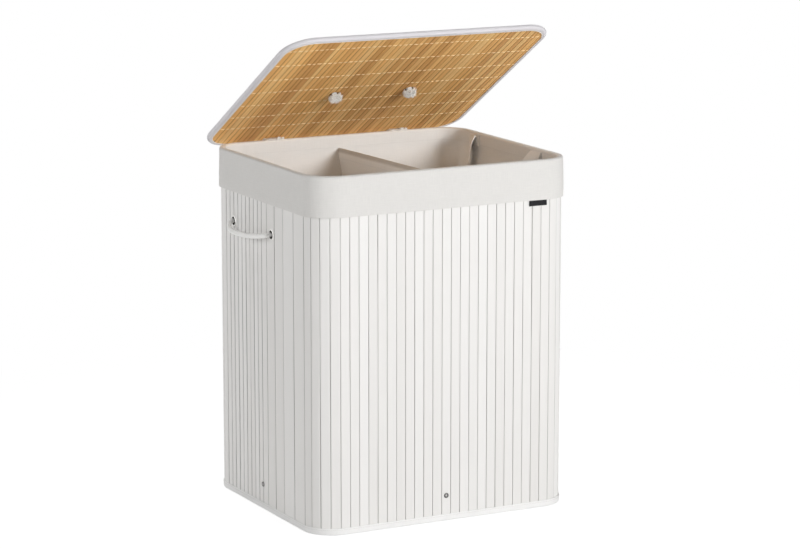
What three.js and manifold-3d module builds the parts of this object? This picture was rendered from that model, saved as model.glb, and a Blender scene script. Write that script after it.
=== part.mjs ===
// Laundry hamper with two bins: a slatted bamboo wall on a cloth backing, a fabric liner with a divider,
// rope handles, and a lid that is hinged on two tapes.
// Millimetres, +Z up, front towards -Y, standing on Z = 0. The pieces are drawn about the middle of the
// wall's footprint, and the finished group is moved so that the whole outline, lid included, is centred.
import * as THREE from 'three';
import { mergeVertices } from 'three/addons/utils/BufferGeometryUtils.js';
import Module from 'manifold-3d';

const wasm = await Module();
wasm.setup();

// Driving sizes of the slatted wall, measured over the slats' outer faces
const BODY_WIDTH = 522;
const BODY_DEPTH = 446;
const CORNER_RADIUS = 56;
const RIM_HEIGHT = 651;
const TOUCH_GAP = 0.3;
const LID_OVERHANG_SHIFT = 11;

// Slats: 23 on the front and back, 14 on each side. The side slats get wider towards the front corner.
const FRONT_SLATS = 23;
const FRONT_PITCH = 18.52;
const SIDE_NARROW_SLATS = 9;
const SIDE_NARROW_WIDTH = 17.1;
const SIDE_WIDE_WIDTHS = [42.3, 43, 35.5, 32.9, 21.6];
const SIDE_FRONT_REACH = 172.6;
const FRONT_CORNER_SLATS = 4;
const BACK_CORNER_SLATS = 5;
const GROOVE_WIDTH = 1.7;
const GROOVE_DEPTH = 2.8;
const SLAT_CHAMFER = 0.6;
const MAT_THICKNESS = 4.6;
const MAT_BOTTOM = 1.6;
const MAT_TOP = 648.4;

// Fabric shell, as distances out from the slats' outer faces
const BACKING_OUTSIDE = -5.6;
const BACKING_INSIDE = -6.8;
const WALL_BACK = BACKING_INSIDE - TOUCH_GAP;
const LOWER_BINDING = { outside: 1.6, inside: -8.3, height: 12.3, leg: 1.2 };
const UPPER_BINDING = { outside: 1.1, inside: -7.9, bottom: 632, top: 649.5, leg: 0.8 };
const CUFF = { outside: 2.6, inside: -9.4, bottom: 577, seam: 625, leg: 1.2 };

// Liner bag: distance in from the slats' outer faces at each height
const BAG_THICKNESS = 1.2;
const BAG_LEVELS = [[20, -34], [24, -29], [40, -27], [565, -27], [600, -9], [624.7, -8.2]];
const DIVIDER_THICKNESS = 1.4;
const DIVIDER_TOP = 621;
const HEM = { top: 631, bottom: 609, width: 4.2 };

// Base
const BOARD_BOTTOM = 13;
const BOARD_TOP = 18;
const TAB = { width: 52, thickness: 1.2, reach: 40, top: 62 };
const RIVET_HEIGHT = 47;
const RIVET_HOLE = 3;

// Side rope handles
const ROPE_RADIUS = 5;
const EYELET = { height: 521.3, holeRadius: 7.7, rearY: 122.2, frontY: -40 };
const HANDLE_AXIS = 7;
const HANDLE_ROUTE = [
  [0, 0, 0], [1.4, 2.6, -0.6], [5, 4.6, -1.5], [12, 6.7, -2.8], [26.5, 9.2, -5.2], [45, 10.6, -7.8],
  [63.6, 11, -9.9], [79, 11, -11.2], [95, 11, -12.3], [112, 10.7, -13], [130, 9.7, -13.2],
  [144, 8.2, -12.3], [152.6, 6.4, -9.7], [158, 4.4, -6.3], [161, 2.2, -2.9], [162.2, 0, 0],
];

// Lid, laid out closed and then turned about its hinge line
const LID = { width: 540, depth: 466, radius: 56.4, shiftX: -6, shiftY: 4, bottom: 652 };
const LID_BAND = 10;
const LID_UNDERSIDE = [1.3, 3.5];
const LID_CORE = [3.8, 6.4];
const LID_SLATS = [6.7, 8.7];
const LID_PLATE_INSET = 1.4;
const LID_ROPE_HOLE = 5.6;
const LID_UNDERSIDE_HOLE = 7.5;
const LID_OPEN_ANGLE = THREE.MathUtils.degToRad(31);
const HINGE_Y = 221;
const HINGE_Z = 635;
const LID_SLAT_PITCH = 18.52;
const LID_STRIP_PITCH = 10.4;
const LID_KNOT_SPACING = 155;
const LID_KNOT_Y = 18;
const LID_HANDLE_AXIS = 15.2;
const LID_HANDLE_ROUTE = [
  [0, 0, 0], [1.5, 12, 0], [8, 27, 0], [26, 41, 0], [50, 47, 0], [77.5, 48.5, 0],
  [105, 47, 0], [129, 41, 0], [147, 27, 0], [153.5, 12, 0], [155, 0, 0],
];
const TAPE_X = 131;
const TAPE_WIDTH = 38;
const TAPE_THICKNESS = 1;

// Carry strap of each bin
const STRAP = { width: 34, thickness: 1.5, frontY: -108, backY: 130, top: 647, joint: 626.2, axisX: 249.9 };
const STRAP_ROUTE = [
  { inward: 0, y: -108, z: 625.4, twist: 0 },
  { inward: -1, y: -108, z: 618, twist: 0 },
  { inward: -8, y: -101, z: 603, twist: 0 },
  { inward: -24, y: -88, z: 572, twist: 0.15 },
  { inward: -34, y: -62, z: 534, twist: 0.4 },
  { inward: -36, y: -24, z: 506, twist: 0.8 },
  { inward: -37, y: 11, z: 499, twist: 1.1 },
  { inward: -36, y: 46, z: 506, twist: 0.8 },
  { inward: -34, y: 84, z: 534, twist: 0.5 },
  { inward: -24, y: 110, z: 572, twist: 0.3 },
  { inward: -8, y: 123, z: 603, twist: 0.3 },
  { inward: -1, y: 130, z: 618, twist: 0.1 },
  { inward: 0, y: 130, z: 625.4, twist: 0 },
];

const SIDE_TAG = { left: 169, right: 205, bottom: 567, top: 592, thickness: 0.7 };

const HALF_WIDTH = BODY_WIDTH / 2;
const HALF_DEPTH = BODY_DEPTH / 2;

const paintedBamboo = { color: 0xeeedea, roughness: 0.55 };
const linerFabric = { color: 0xd9d6d1, roughness: 0.9 };
const bindingFabric = { color: 0xe2e1e2, roughness: 0.9 };
const lidBindingFabric = { color: 0xc9c7d2, roughness: 0.9 };
const naturalBamboo = { color: 0xb98c5a, roughness: 0.6 };
const cottonRope = { color: 0xe9e6dc, roughness: 0.95 };
const webbing = { color: 0xcfc8c8, roughness: 0.9 };
const fibreboard = { color: 0xa58a68, roughness: 0.85 };
const nickel = { color: 0xb7b4ae, roughness: 0.35, metalness: 0.9 };
const wovenTag = { color: 0x17181b, roughness: 0.8 };

const hamper = new THREE.Group();
hamper.position.y = -LID_OVERHANG_SHIFT;
const lid = new THREE.Group();
lid.position.set(0, HINGE_Y, HINGE_Z);
lid.rotation.x = -LID_OPEN_ANGLE;
hamper.add(lid);

// Geometry helpers

function closedGeometry(positions, indices) {
  let volume = 0;
  const [a, b, c] = [new THREE.Vector3(), new THREE.Vector3(), new THREE.Vector3()];
  for (let i = 0; i < indices.length; i += 3) {
    a.fromArray(positions, indices[i] * 3);
    b.fromArray(positions, indices[i + 1] * 3);
    c.fromArray(positions, indices[i + 2] * 3);
    volume += a.dot(b.cross(c));
  }
  const geometry = new THREE.BufferGeometry();
  geometry.setAttribute('position', new THREE.Float32BufferAttribute(positions, 3));
  geometry.setIndex(volume < 0 ? [...indices].reverse() : indices);
  return geometry;
}

function toSolid(geometry) {
  const bare = geometry.clone();
  bare.deleteAttribute('normal');
  bare.deleteAttribute('uv');
  const merged = mergeVertices(bare, 1e-4);
  return new wasm.Manifold(new wasm.Mesh({
    numProp: 3,
    vertProperties: new Float32Array(merged.attributes.position.array),
    triVerts: new Uint32Array(merged.index.array),
  }));
}

function toGeometry(solid) {
  const mesh = solid.getMesh();
  const geometry = new THREE.BufferGeometry();
  geometry.setAttribute('position', new THREE.Float32BufferAttribute(mesh.vertProperties, 3));
  geometry.setIndex(Array.from(mesh.triVerts));
  return geometry;
}

function cutAway(geometry, cutters) {
  let solid = toSolid(geometry);
  for (const cutter of cutters) {
    solid = solid.subtract(toSolid(cutter));
  }
  return toGeometry(solid);
}

function joined(geometries) {
  let solid = toSolid(geometries[0]);
  for (const geometry of geometries.slice(1)) {
    solid = solid.add(toSolid(geometry));
  }
  return toGeometry(solid);
}

function addPiece(name, geometry, finish, parent = hamper) {
  const faceted = geometry.index ? geometry.toNonIndexed() : geometry;
  faceted.computeVertexNormals();
  const mesh = new THREE.Mesh(faceted, new THREE.MeshStandardMaterial(finish));
  mesh.name = name;
  parent.add(mesh);
  return mesh;
}

function addLidPiece(name, geometry, finish) {
  geometry.translate(0, -HINGE_Y, -HINGE_Z);
  return addPiece(name, geometry, finish, lid);
}

// A rounded rectangle as stations with outward normals, anticlockwise from above
function outlineStations(halfWidth, halfDepth, radius, arcSteps = 8) {
  const corners = [[1, -1, -90], [1, 1, 0], [-1, 1, 90], [-1, -1, 180]];
  return corners.flatMap(([signX, signY, startAngle]) => {
    const stations = [];
    for (let i = 0; i <= arcSteps; i += 1) {
      const angle = THREE.MathUtils.degToRad(startAngle + 90 * i / arcSteps);
      const normal = new THREE.Vector2(Math.cos(angle), Math.sin(angle));
      const centre = new THREE.Vector2(signX * (halfWidth - radius), signY * (halfDepth - radius));
      stations.push({ point: centre.addScaledVector(normal, radius), normal });
    }
    return stations;
  });
}

const bodyStations = outlineStations(HALF_WIDTH, HALF_DEPTH, CORNER_RADIUS);

// A closed section of [distance out, height] points carried once round an outline
function sweepRound(stations, section) {
  const positions = [];
  for (const { point, normal } of stations) {
    for (const [outward, height] of section) {
      positions.push(point.x + normal.x * outward, point.y + normal.y * outward, height);
    }
  }
  const rows = stations.length;
  const columns = section.length;
  const indices = [];
  for (let i = 0; i < rows; i += 1) {
    for (let j = 0; j < columns; j += 1) {
      const [a, b] = [i * columns + j, i * columns + (j + 1) % columns];
      const [c, d] = [((i + 1) % rows) * columns + j, ((i + 1) % rows) * columns + (j + 1) % columns];
      indices.push(a, b, c, b, d, c);
    }
  }
  return closedGeometry(positions, indices);
}

// A solid through levels of [height, distance out] round an outline
function loftUp(stations, levels) {
  const positions = [];
  for (const [height, outward] of levels) {
    for (const { point, normal } of stations) {
      positions.push(point.x + normal.x * outward, point.y + normal.y * outward, height);
    }
  }
  const ring = stations.length;
  const indices = [];
  for (let level = 0; level < levels.length - 1; level += 1) {
    for (let i = 0; i < ring; i += 1) {
      const [a, b] = [level * ring + i, level * ring + (i + 1) % ring];
      indices.push(a, b, a + ring, b, b + ring, a + ring);
    }
  }
  const last = (levels.length - 1) * ring;
  for (let i = 1; i < ring - 1; i += 1) {
    indices.push(0, i + 1, i, last, last + i, last + i + 1);
  }
  return closedGeometry(positions, indices);
}

function shapeFrom(points) {
  return new THREE.Shape(points.map(([x, y]) => new THREE.Vector2(x, y)));
}

function extrudeUp(points, bottom, top) {
  const geometry = new THREE.ExtrudeGeometry(shapeFrom(points), { depth: top - bottom, bevelEnabled: false });
  return geometry.translate(0, 0, bottom);
}

// A section drawn as [y, z], extruded along X
function extrudeAlongX(points, fromX, toX) {
  const geometry = new THREE.ExtrudeGeometry(shapeFrom(points), { depth: toX - fromX, bevelEnabled: false });
  geometry.rotateY(Math.PI / 2);
  geometry.rotateX(Math.PI / 2);
  return geometry.translate(fromX, 0, 0);
}

// A section drawn as [x, z], extruded along Y
function extrudeAlongY(points, fromY, toY) {
  const geometry = new THREE.ExtrudeGeometry(shapeFrom(points), { depth: toY - fromY, bevelEnabled: false });
  geometry.rotateX(Math.PI / 2);
  return geometry.translate(0, toY, 0);
}

// Turned about an axis: points are [radius, distance along the axis]
function turned(points, segments = 24) {
  const lathe = new THREE.LatheGeometry(points.map(([r, along]) => new THREE.Vector2(r, along)), segments);
  return closedGeometry(Array.from(lathe.attributes.position.array), Array.from(lathe.index.array));
}

function turnedAlong(points, place, direction, segments) {
  const geometry = turned(points, segments);
  const up = new THREE.Vector3(0, 1, 0);
  geometry.applyQuaternion(new THREE.Quaternion().setFromUnitVectors(up, direction));
  return geometry.translate(place.x, place.y, place.z);
}

function drill(place, direction, radius) {
  const rod = [[0, -30], [radius, -30], [radius, 30], [0, 30]];
  return turnedAlong(rod, place, direction, 24);
}

// Rope through hand-chosen points, with round ends
function ropeAlong(points, steps) {
  const sides = 8;
  const circle = [];
  for (let i = 0; i < sides; i += 1) {
    const angle = 2 * Math.PI * i / sides;
    circle.push([ROPE_RADIUS * Math.cos(angle), ROPE_RADIUS * Math.sin(angle)]);
  }
  const path = new THREE.CatmullRomCurve3(points, false, 'centripetal');
  const settings = { steps, extrudePath: path, bevelEnabled: false };
  const tube = new THREE.ExtrudeGeometry(shapeFrom(circle), settings);
  const ends = [points[0], points[points.length - 1]].map((end) => {
    const ball = new THREE.SphereGeometry(ROPE_RADIUS, 8, 6);
    return ball.translate(end.x, end.y, end.z);
  });
  return joined([tube, ...ends]);
}

// A flat band along stations of { point, across }, where across is the direction of its width
function bandAlong(stations, width, thickness) {
  const positions = [];
  stations.forEach(({ point, across }, i) => {
    const before = stations[Math.max(i - 1, 0)].point;
    const after = stations[Math.min(i + 1, stations.length - 1)].point;
    const along = new THREE.Vector3().subVectors(after, before).normalize();
    const side = across.clone().addScaledVector(along, -across.dot(along)).normalize();
    const face = new THREE.Vector3().crossVectors(along, side);
    for (const [s, f] of [[-1, -1], [1, -1], [1, 1], [-1, 1]]) {
      const corner = point.clone().addScaledVector(side, s * width / 2);
      corner.addScaledVector(face, f * thickness / 2);
      positions.push(corner.x, corner.y, corner.z);
    }
  });
  const indices = [0, 1, 2, 0, 2, 3];
  for (let i = 0; i < stations.length - 1; i += 1) {
    for (let j = 0; j < 4; j += 1) {
      const [a, b] = [i * 4 + j, i * 4 + (j + 1) % 4];
      indices.push(a, a + 4, b, b, a + 4, b + 4);
    }
  }
  const end = (stations.length - 1) * 4;
  indices.push(end, end + 2, end + 1, end, end + 3, end + 2);
  return closedGeometry(positions, indices);
}

// Slatted wall: each mat is one drawn section, with a flat face per slat and a thin web behind the grooves

const FLAT_FRONT = HALF_WIDTH - CORNER_RADIUS;
const FLAT_SIDE = HALF_DEPTH - CORNER_RADIUS;
const ARC_LENGTH = CORNER_RADIUS * Math.PI / 2;
const SIDE_CENTRE = FLAT_FRONT + ARC_LENGTH + FLAT_SIDE;
const PERIMETER = 4 * SIDE_CENTRE;

// The outline point at a distance along it from the middle of the front, going towards +X
function outlineAt(distance) {
  const quarter = Math.floor(distance / SIDE_CENTRE);
  let rest = distance - quarter * SIDE_CENTRE;
  const startsOnSide = Math.abs(quarter % 2) === 1;
  const firstFlat = startsOnSide ? FLAT_SIDE : FLAT_FRONT;
  const halfReach = startsOnSide ? HALF_DEPTH : HALF_WIDTH;
  const otherReach = startsOnSide ? HALF_WIDTH : HALF_DEPTH;
  const place = new THREE.Vector2(rest, -otherReach);
  const normal = new THREE.Vector2(0, -1);
  if (rest > firstFlat) {
    const angle = Math.min((rest - firstFlat) / CORNER_RADIUS, Math.PI / 2);
    normal.set(Math.sin(angle), -Math.cos(angle));
    place.set(firstFlat, CORNER_RADIUS - otherReach).addScaledVector(normal, CORNER_RADIUS);
    rest -= firstFlat + ARC_LENGTH;
    if (rest > 0) {
      place.set(halfReach, CORNER_RADIUS - otherReach + rest);
    }
  }
  const turn = quarter * Math.PI / 2;
  const middle = new THREE.Vector2();
  return { point: place.rotateAround(middle, turn), normal: normal.rotateAround(middle, turn) };
}

// Edges of slats of equal width, as distances along the outline
function evenEdges(start, end, count) {
  return Array.from({ length: count + 1 }, (_, i) => start + (end - start) * i / count);
}

// Edges of the right side's slats, from the front corner to the back
function sideEdges() {
  const edges = [SIDE_CENTRE - SIDE_FRONT_REACH];
  const widths = [...SIDE_WIDE_WIDTHS, ...Array(SIDE_NARROW_SLATS).fill(SIDE_NARROW_WIDTH)];
  for (const width of widths) {
    edges.push(edges.at(-1) + width);
  }
  return edges;
}

function slatMatSection(edges) {
  const stations = edges.map(outlineAt);
  const count = edges.length - 1;
  const outer = [];
  const halfGroove = GROOVE_WIDTH / 2;
  const webGap = TOUCH_GAP * 0.75;
  for (let i = 0; i < count; i += 1) {
    const [a, b] = [stations[i].point, stations[i + 1].point];
    const along = b.clone().sub(a).normalize();
    const out = new THREE.Vector2(along.y, -along.x);
    const at = (origin, step, depth) => (
      origin.clone().addScaledVector(along, step).addScaledVector(out, -depth));
    const webEnd = (station, step, depth) => (
      station.point.clone().addScaledVector(along, step).addScaledVector(station.normal, -depth));
    if (i === 0) {
      const first = stations[0];
      outer.push(webEnd(first, webGap, MAT_THICKNESS), webEnd(first, webGap, GROOVE_DEPTH));
    }
    outer.push(at(a, halfGroove, GROOVE_DEPTH), at(a, halfGroove, SLAT_CHAMFER));
    outer.push(at(a, halfGroove + SLAT_CHAMFER, 0), at(b, -halfGroove - SLAT_CHAMFER, 0));
    outer.push(at(b, -halfGroove, SLAT_CHAMFER), at(b, -halfGroove, GROOVE_DEPTH));
    if (i === count - 1) {
      const last = stations[count];
      outer.push(webEnd(last, -webGap, GROOVE_DEPTH), webEnd(last, -webGap, MAT_THICKNESS));
    }
  }
  for (let i = count - 1; i > 0; i -= 1) {
    const { point, normal } = stations[i];
    const bends = stations[i - 1].normal.dot(stations[i + 1].normal) < 0.9999;
    if (bends) {
      outer.push(point.clone().addScaledVector(normal, -MAT_THICKNESS));
    }
  }
  return outer.map((p) => [p.x, p.y]);
}

const LEFT = new THREE.Vector3(-1, 0, 0);
const RIGHT = new THREE.Vector3(1, 0, 0);
const FRONT = new THREE.Vector3(0, -1, 0);
const BACK = new THREE.Vector3(0, 1, 0);
const UP = new THREE.Vector3(0, 0, 1);
// The side rivets sit in the groove between the wide and the narrow slats
const SIDE_RIVET_Y = SIDE_WIDE_WIDTHS.reduce((sum, width) => sum + width) - SIDE_FRONT_REACH;

const rivets = [
  { name: 'front', direction: FRONT, place: new THREE.Vector3(0, -HALF_DEPTH, RIVET_HEIGHT) },
  { name: 'back', direction: BACK, place: new THREE.Vector3(0, HALF_DEPTH, RIVET_HEIGHT) },
  { name: 'left', direction: LEFT, place: new THREE.Vector3(-HALF_WIDTH, SIDE_RIVET_Y, RIVET_HEIGHT) },
  { name: 'right', direction: RIGHT, place: new THREE.Vector3(HALF_WIDTH, SIDE_RIVET_Y, RIVET_HEIGHT) },
];

function eyeletAt(name, direction, y) {
  return { name, direction, place: new THREE.Vector3(direction.x * HALF_WIDTH, y, EYELET.height) };
}

const eyelets = [
  eyeletAt('left_rear', LEFT, EYELET.rearY),
  eyeletAt('left_front', LEFT, EYELET.frontY),
  eyeletAt('right_rear', RIGHT, EYELET.rearY),
  eyeletAt('right_front', RIGHT, EYELET.frontY),
];

const wallHoles = [
  ...rivets.map(({ direction, place }) => ({ direction, cutter: drill(place, direction, RIVET_HOLE) })),
  ...eyelets.map(({ direction, place }) => (
    { direction, cutter: drill(place, direction, EYELET.holeRadius) })),
];

function holesFacing(direction) {
  return wallHoles.filter((hole) => hole.direction === direction).map((hole) => hole.cutter);
}

function addSlatMat(name, edges, direction) {
  const mat = extrudeUp(slatMatSection(edges), MAT_BOTTOM, MAT_TOP);
  addPiece(name, cutAway(mat, holesFacing(direction)), paintedBamboo);
}

function addSlattedWall() {
  const frontHalf = FRONT_SLATS * FRONT_PITCH / 2;
  const halfPerimeter = PERIMETER / 2;
  const right = sideEdges();
  const left = right.map((edge) => PERIMETER - edge).reverse();
  const sideFront = right[0];
  const sideBack = right.at(-1);
  const toBack = halfPerimeter - frontHalf;
  addSlatMat('front_slat_mat', evenEdges(-frontHalf, frontHalf, FRONT_SLATS), FRONT);
  addSlatMat('back_slat_mat', evenEdges(toBack, halfPerimeter + frontHalf, FRONT_SLATS), BACK);
  addSlatMat('right_slat_mat', right, RIGHT);
  addSlatMat('left_slat_mat', left, LEFT);
  const corners = [
    ['front_right', frontHalf, sideFront, FRONT_CORNER_SLATS],
    ['back_right', sideBack, toBack, BACK_CORNER_SLATS],
    ['back_left', PERIMETER - toBack, PERIMETER - sideBack, BACK_CORNER_SLATS],
    ['front_left', PERIMETER - sideFront, PERIMETER - frontHalf, FRONT_CORNER_SLATS],
  ];
  for (const [corner, start, end, count] of corners) {
    addSlatMat(`${corner}_corner_slats`, evenEdges(start, end, count));
  }
}

function addBackingCloth() {
  const section = [
    [BACKING_OUTSIDE, MAT_BOTTOM], [BACKING_OUTSIDE, MAT_TOP],
    [BACKING_INSIDE, MAT_TOP], [BACKING_INSIDE, MAT_BOTTOM],
  ];
  const cutters = wallHoles.map((hole) => hole.cutter);
  addPiece('backing_cloth', cutAway(sweepRound(bodyStations, section), cutters), linerFabric);
}

function addLowerBinding() {
  const { outside, inside, height, leg } = LOWER_BINDING;
  const section = [
    [outside - 0.6, 0], [outside, 0.8], [outside, height - 0.5], [outside - 0.5, height],
    [outside - leg, height], [outside - leg, leg], [inside + leg, leg], [inside + leg, height],
    [inside, height], [inside, 0.8], [inside + 0.6, 0],
  ];
  addPiece('bottom_edge_binding', sweepRound(bodyStations, section), bindingFabric);
}

function addUpperBinding() {
  const { outside, inside, bottom, top, leg } = UPPER_BINDING;
  const section = [
    [outside, bottom], [outside, top], [inside, top], [inside, bottom],
    [inside + leg, bottom], [inside + leg, top - leg], [outside - leg, top - leg], [outside - leg, bottom],
  ];
  addPiece('top_edge_binding', sweepRound(bodyStations, section), bindingFabric);
}

// Base board, its four cloth tabs, and the rivets through tab and wall

function addBase() {
  const inset = LOWER_BINDING.inside - TOUCH_GAP;
  addPiece('base_board', loftUp(bodyStations, [[BOARD_BOTTOM, inset], [BOARD_TOP, inset]]), fibreboard);
  for (const { name, direction, place } of rivets) {
    const foot = BOARD_TOP + TOUCH_GAP;
    const front = WALL_BACK - TAB.thickness;
    const section = [
      [WALL_BACK, foot], [WALL_BACK, TAB.top], [front, TAB.top], [front, foot + TAB.thickness],
      [-TAB.reach - MAT_THICKNESS, foot + TAB.thickness], [-TAB.reach - MAT_THICKNESS, foot],
    ];
    const across = new THREE.Vector3(-direction.y, direction.x, 0);
    const tab = new THREE.ExtrudeGeometry(shapeFrom(section), { depth: TAB.width, bevelEnabled: false });
    tab.translate(0, 0, -TAB.width / 2);
    const basis = new THREE.Matrix4().makeBasis(direction, UP, across.negate());
    tab.applyMatrix4(basis).translate(place.x, place.y, 0);
    addPiece(`${name}_base_tab`, cutAway(tab, holesFacing(direction).slice(0, 1)), webbing);
    const clench = front - TOUCH_GAP;
    const profile = [
      [0, clench - 1.3], [4.8, clench - 1.3], [4.8, clench], [2.7, clench], [2.7, 0.3], [4.6, 0.3],
      [4.6, 0.9], [4, 1.3], [2.7, 1.3], [2.3, 0.8], [1.8, 1.2], [0, 1.4],
    ];
    addPiece(`${name}_rivet`, turnedAlong(profile, place, direction, 12), nickel);
  }
}

// Side handles: metal eyelets, the knotted rope ends inside the wall, and the free rope outside

function addSideHandles() {
  for (const { name, direction, place } of eyelets) {
    const ring = [
      [6.8, 1], [7.3, 1.4], [8.6, 1.4], [9.6, 0.8], [9.6, 0.3], [7.4, 0.3],
      [7.4, WALL_BACK], [9.6, WALL_BACK], [9.6, WALL_BACK - 0.7], [6.8, WALL_BACK - 0.9], [6.8, 1],
    ];
    addPiece(`${name}_eyelet`, turnedAlong(ring, place, direction, 20), nickel);
    const knot = [
      [0, 1.7], [4.9, 1.7], [4.9, -8.2], [8.6, -9], [10.6, -12.4], [10.4, -15.9],
      [8.2, -19.4], [4.9, -21], [5.2, -24.4], [0, -24.8],
    ];
    addPiece(`${name}_rope_knot`, turnedAlong(knot, place, direction, 12), cottonRope);
  }
  for (const [name, sign] of [['left_rope_handle', -1], ['right_rope_handle', 1]]) {
    const route = HANDLE_ROUTE.map(([along, outward, up]) => new THREE.Vector3(
      sign * (HALF_WIDTH + HANDLE_AXIS + outward),
      EYELET.frontY + along,
      EYELET.height + up,
    ));
    addPiece(name, ropeAlong(route, 24), cottonRope);
  }
}

// Liner: cuff, bag, divider with its hem, and a carry strap in each bin

function addLinerCuff() {
  const { outside, inside, bottom, seam, leg } = CUFF;
  const section = [
    [outside + 0.3, bottom], [outside, bottom + 12], [outside, RIM_HEIGHT - 2], [outside - 1.4, RIM_HEIGHT],
    [inside + 1.4, RIM_HEIGHT], [inside, RIM_HEIGHT - 2], [inside, seam],
    [inside + leg, seam], [inside + leg, RIM_HEIGHT - leg], [outside - leg, RIM_HEIGHT - leg],
    [outside - leg, bottom + 12], [outside + 0.3 - leg, bottom],
  ];
  addPiece('liner_cuff', sweepRound(bodyStations, section), linerFabric);
}

function bagInsideAt(height) {
  const above = BAG_LEVELS.findIndex(([level]) => level > height);
  const [lowHeight, lowOut] = BAG_LEVELS[above - 1];
  const [highHeight, highOut] = BAG_LEVELS[above];
  return lowOut + (highOut - lowOut) * (height - lowHeight) / (highHeight - lowHeight) - BAG_THICKNESS;
}

function addLinerBag() {
  const outside = loftUp(bodyStations, BAG_LEVELS);
  const hollow = BAG_LEVELS.map(([height, out]) => [height, out - BAG_THICKNESS]);
  hollow[0][0] += BAG_THICKNESS;
  hollow[hollow.length - 1][0] += 1;
  addPiece('liner_bag', cutAway(outside, [loftUp(bodyStations, hollow)]), linerFabric);
}

function addDivider() {
  const clearance = 0.5;
  const [floorHeight, floorEdge] = BAG_LEVELS[0];
  const foot = [HALF_DEPTH + floorEdge - BAG_THICKNESS - clearance, floorHeight + BAG_THICKNESS + clearance];
  const rising = [25, 41, 564, 599, DIVIDER_TOP];
  const edge = [foot, ...rising.map((height) => [HALF_DEPTH + bagInsideAt(height) - clearance, height])];
  const mirrored = edge.map(([y, z]) => [-y, z]).reverse();
  const panel = extrudeAlongX([...edge, ...mirrored], -DIVIDER_THICKNESS / 2, DIVIDER_THICKNESS / 2);
  addPiece('liner_divider', panel, linerFabric);
  const gap = DIVIDER_THICKNESS / 2 + TOUCH_GAP;
  const half = HEM.width / 2;
  const section = [
    [-half, HEM.bottom], [-gap, HEM.bottom], [-gap, DIVIDER_TOP + TOUCH_GAP], [gap, DIVIDER_TOP + TOUCH_GAP],
    [gap, HEM.bottom], [half, HEM.bottom], [half, HEM.top - 1], [half - 1, HEM.top],
    [1 - half, HEM.top], [-half, HEM.top - 1],
  ];
  const reach = HALF_DEPTH + bagInsideAt(HEM.bottom) - clearance;
  addPiece('divider_hem', extrudeAlongY(section, -reach, reach), linerFabric);
}

// The strap's middle line, with the direction of its width turning as it hangs
function strapStations(sign) {
  const path = new THREE.CatmullRomCurve3(STRAP_ROUTE.map(({ inward, y, z }) => (
    new THREE.Vector3(sign * (STRAP.axisX + inward), y, z))));
  const spans = STRAP_ROUTE.length - 1;
  const stepsPerSpan = 3;
  const stations = [];
  for (let i = 0; i <= spans * stepsPerSpan; i += 1) {
    const place = i / stepsPerSpan;
    const before = Math.floor(place);
    const after = Math.min(before + 1, spans);
    const twist = THREE.MathUtils.lerp(STRAP_ROUTE[before].twist, STRAP_ROUTE[after].twist, place - before);
    const across = new THREE.Vector3(sign * Math.sin(twist), Math.cos(twist), 0);
    stations.push({ point: path.getPoint(place / spans), across });
  }
  return stations;
}

function addCarryStraps() {
  const along = new THREE.Vector3(0, 1, 0);
  for (const [name, sign] of [['left', -1], ['right', 1]]) {
    for (const [end, y] of [['front', STRAP.frontY], ['back', STRAP.backY]]) {
      const patch = [STRAP.top, STRAP.joint + 0.8].map((z) => (
        { point: new THREE.Vector3(sign * STRAP.axisX, y, z), across: along }
      ));
      addPiece(`${name}_strap_${end}_tab`, bandAlong(patch, STRAP.width, STRAP.thickness), webbing);
    }
    addPiece(`${name}_carry_strap`, bandAlong(strapStations(sign), STRAP.width, STRAP.thickness), webbing);
  }
}

function addSideTag() {
  const face = -HALF_DEPTH - TOUCH_GAP;
  const { left, right, bottom, top, thickness } = SIDE_TAG;
  const section = [[face, bottom], [face, top], [face - thickness, top], [face - thickness, bottom]];
  addPiece('side_tag', extrudeAlongX(section, left, right), wovenTag);
}

// Lid, built closed

function lidStations(inset) {
  const stations = outlineStations(LID.width / 2 - inset, LID.depth / 2 - inset, LID.radius - inset);
  for (const station of stations) {
    station.point.add(new THREE.Vector2(LID.shiftX, LID.shiftY));
  }
  return stations;
}

function lidPlate(from, to) {
  return loftUp(lidStations(LID_PLATE_INSET), [[LID.bottom + from, 0], [LID.bottom + to, 0]]);
}

// A plate whose lower or upper face has a groove at every strip joint, running front to back
function groovedPlate([from, to], pitch, groove, grooveDepth, upperFace) {
  const [plain, cut] = upperFace ? [from, to] : [to, from];
  const towardsPlain = upperFace ? -grooveDepth : grooveDepth;
  const count = Math.floor(LID.width / pitch);
  const halfSpan = LID.width / 2 + pitch;
  const section = [[-halfSpan, plain], [-halfSpan, cut]];
  for (let i = 0; i <= count; i += 1) {
    const x = (i - count / 2) * pitch;
    section.push([x - groove / 2, cut], [x, cut + towardsPlain], [x + groove / 2, cut]);
  }
  section.push([halfSpan, cut], [halfSpan, plain]);
  const slab = extrudeAlongY(section, -LID.depth, LID.depth);
  slab.translate(LID.shiftX, 0, LID.bottom);
  return toGeometry(toSolid(slab).intersect(toSolid(lidPlate(from - 1, to + 1))));
}

function lidKnotPlaces() {
  return [-1, 1].map((side) => new THREE.Vector3(
    LID.shiftX + side * LID_KNOT_SPACING / 2,
    LID.shiftY + LID_KNOT_Y,
    LID.bottom,
  ));
}

function addLidPlates() {
  const holes = (radius) => lidKnotPlaces().map((place) => drill(place, UP, radius));
  const underside = groovedPlate(LID_UNDERSIDE, LID_STRIP_PITCH, 0.7, 0.5, false);
  addLidPiece('lid_underside_mat', cutAway(underside, holes(LID_UNDERSIDE_HOLE)), naturalBamboo);
  addLidPiece('lid_core_board', cutAway(lidPlate(...LID_CORE), holes(LID_ROPE_HOLE)), fibreboard);
  const topMat = groovedPlate(LID_SLATS, LID_SLAT_PITCH, GROOVE_WIDTH, 1.4, true);
  addLidPiece('lid_slat_mat', cutAway(topMat, holes(LID_ROPE_HOLE)), paintedBamboo);
}

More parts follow.
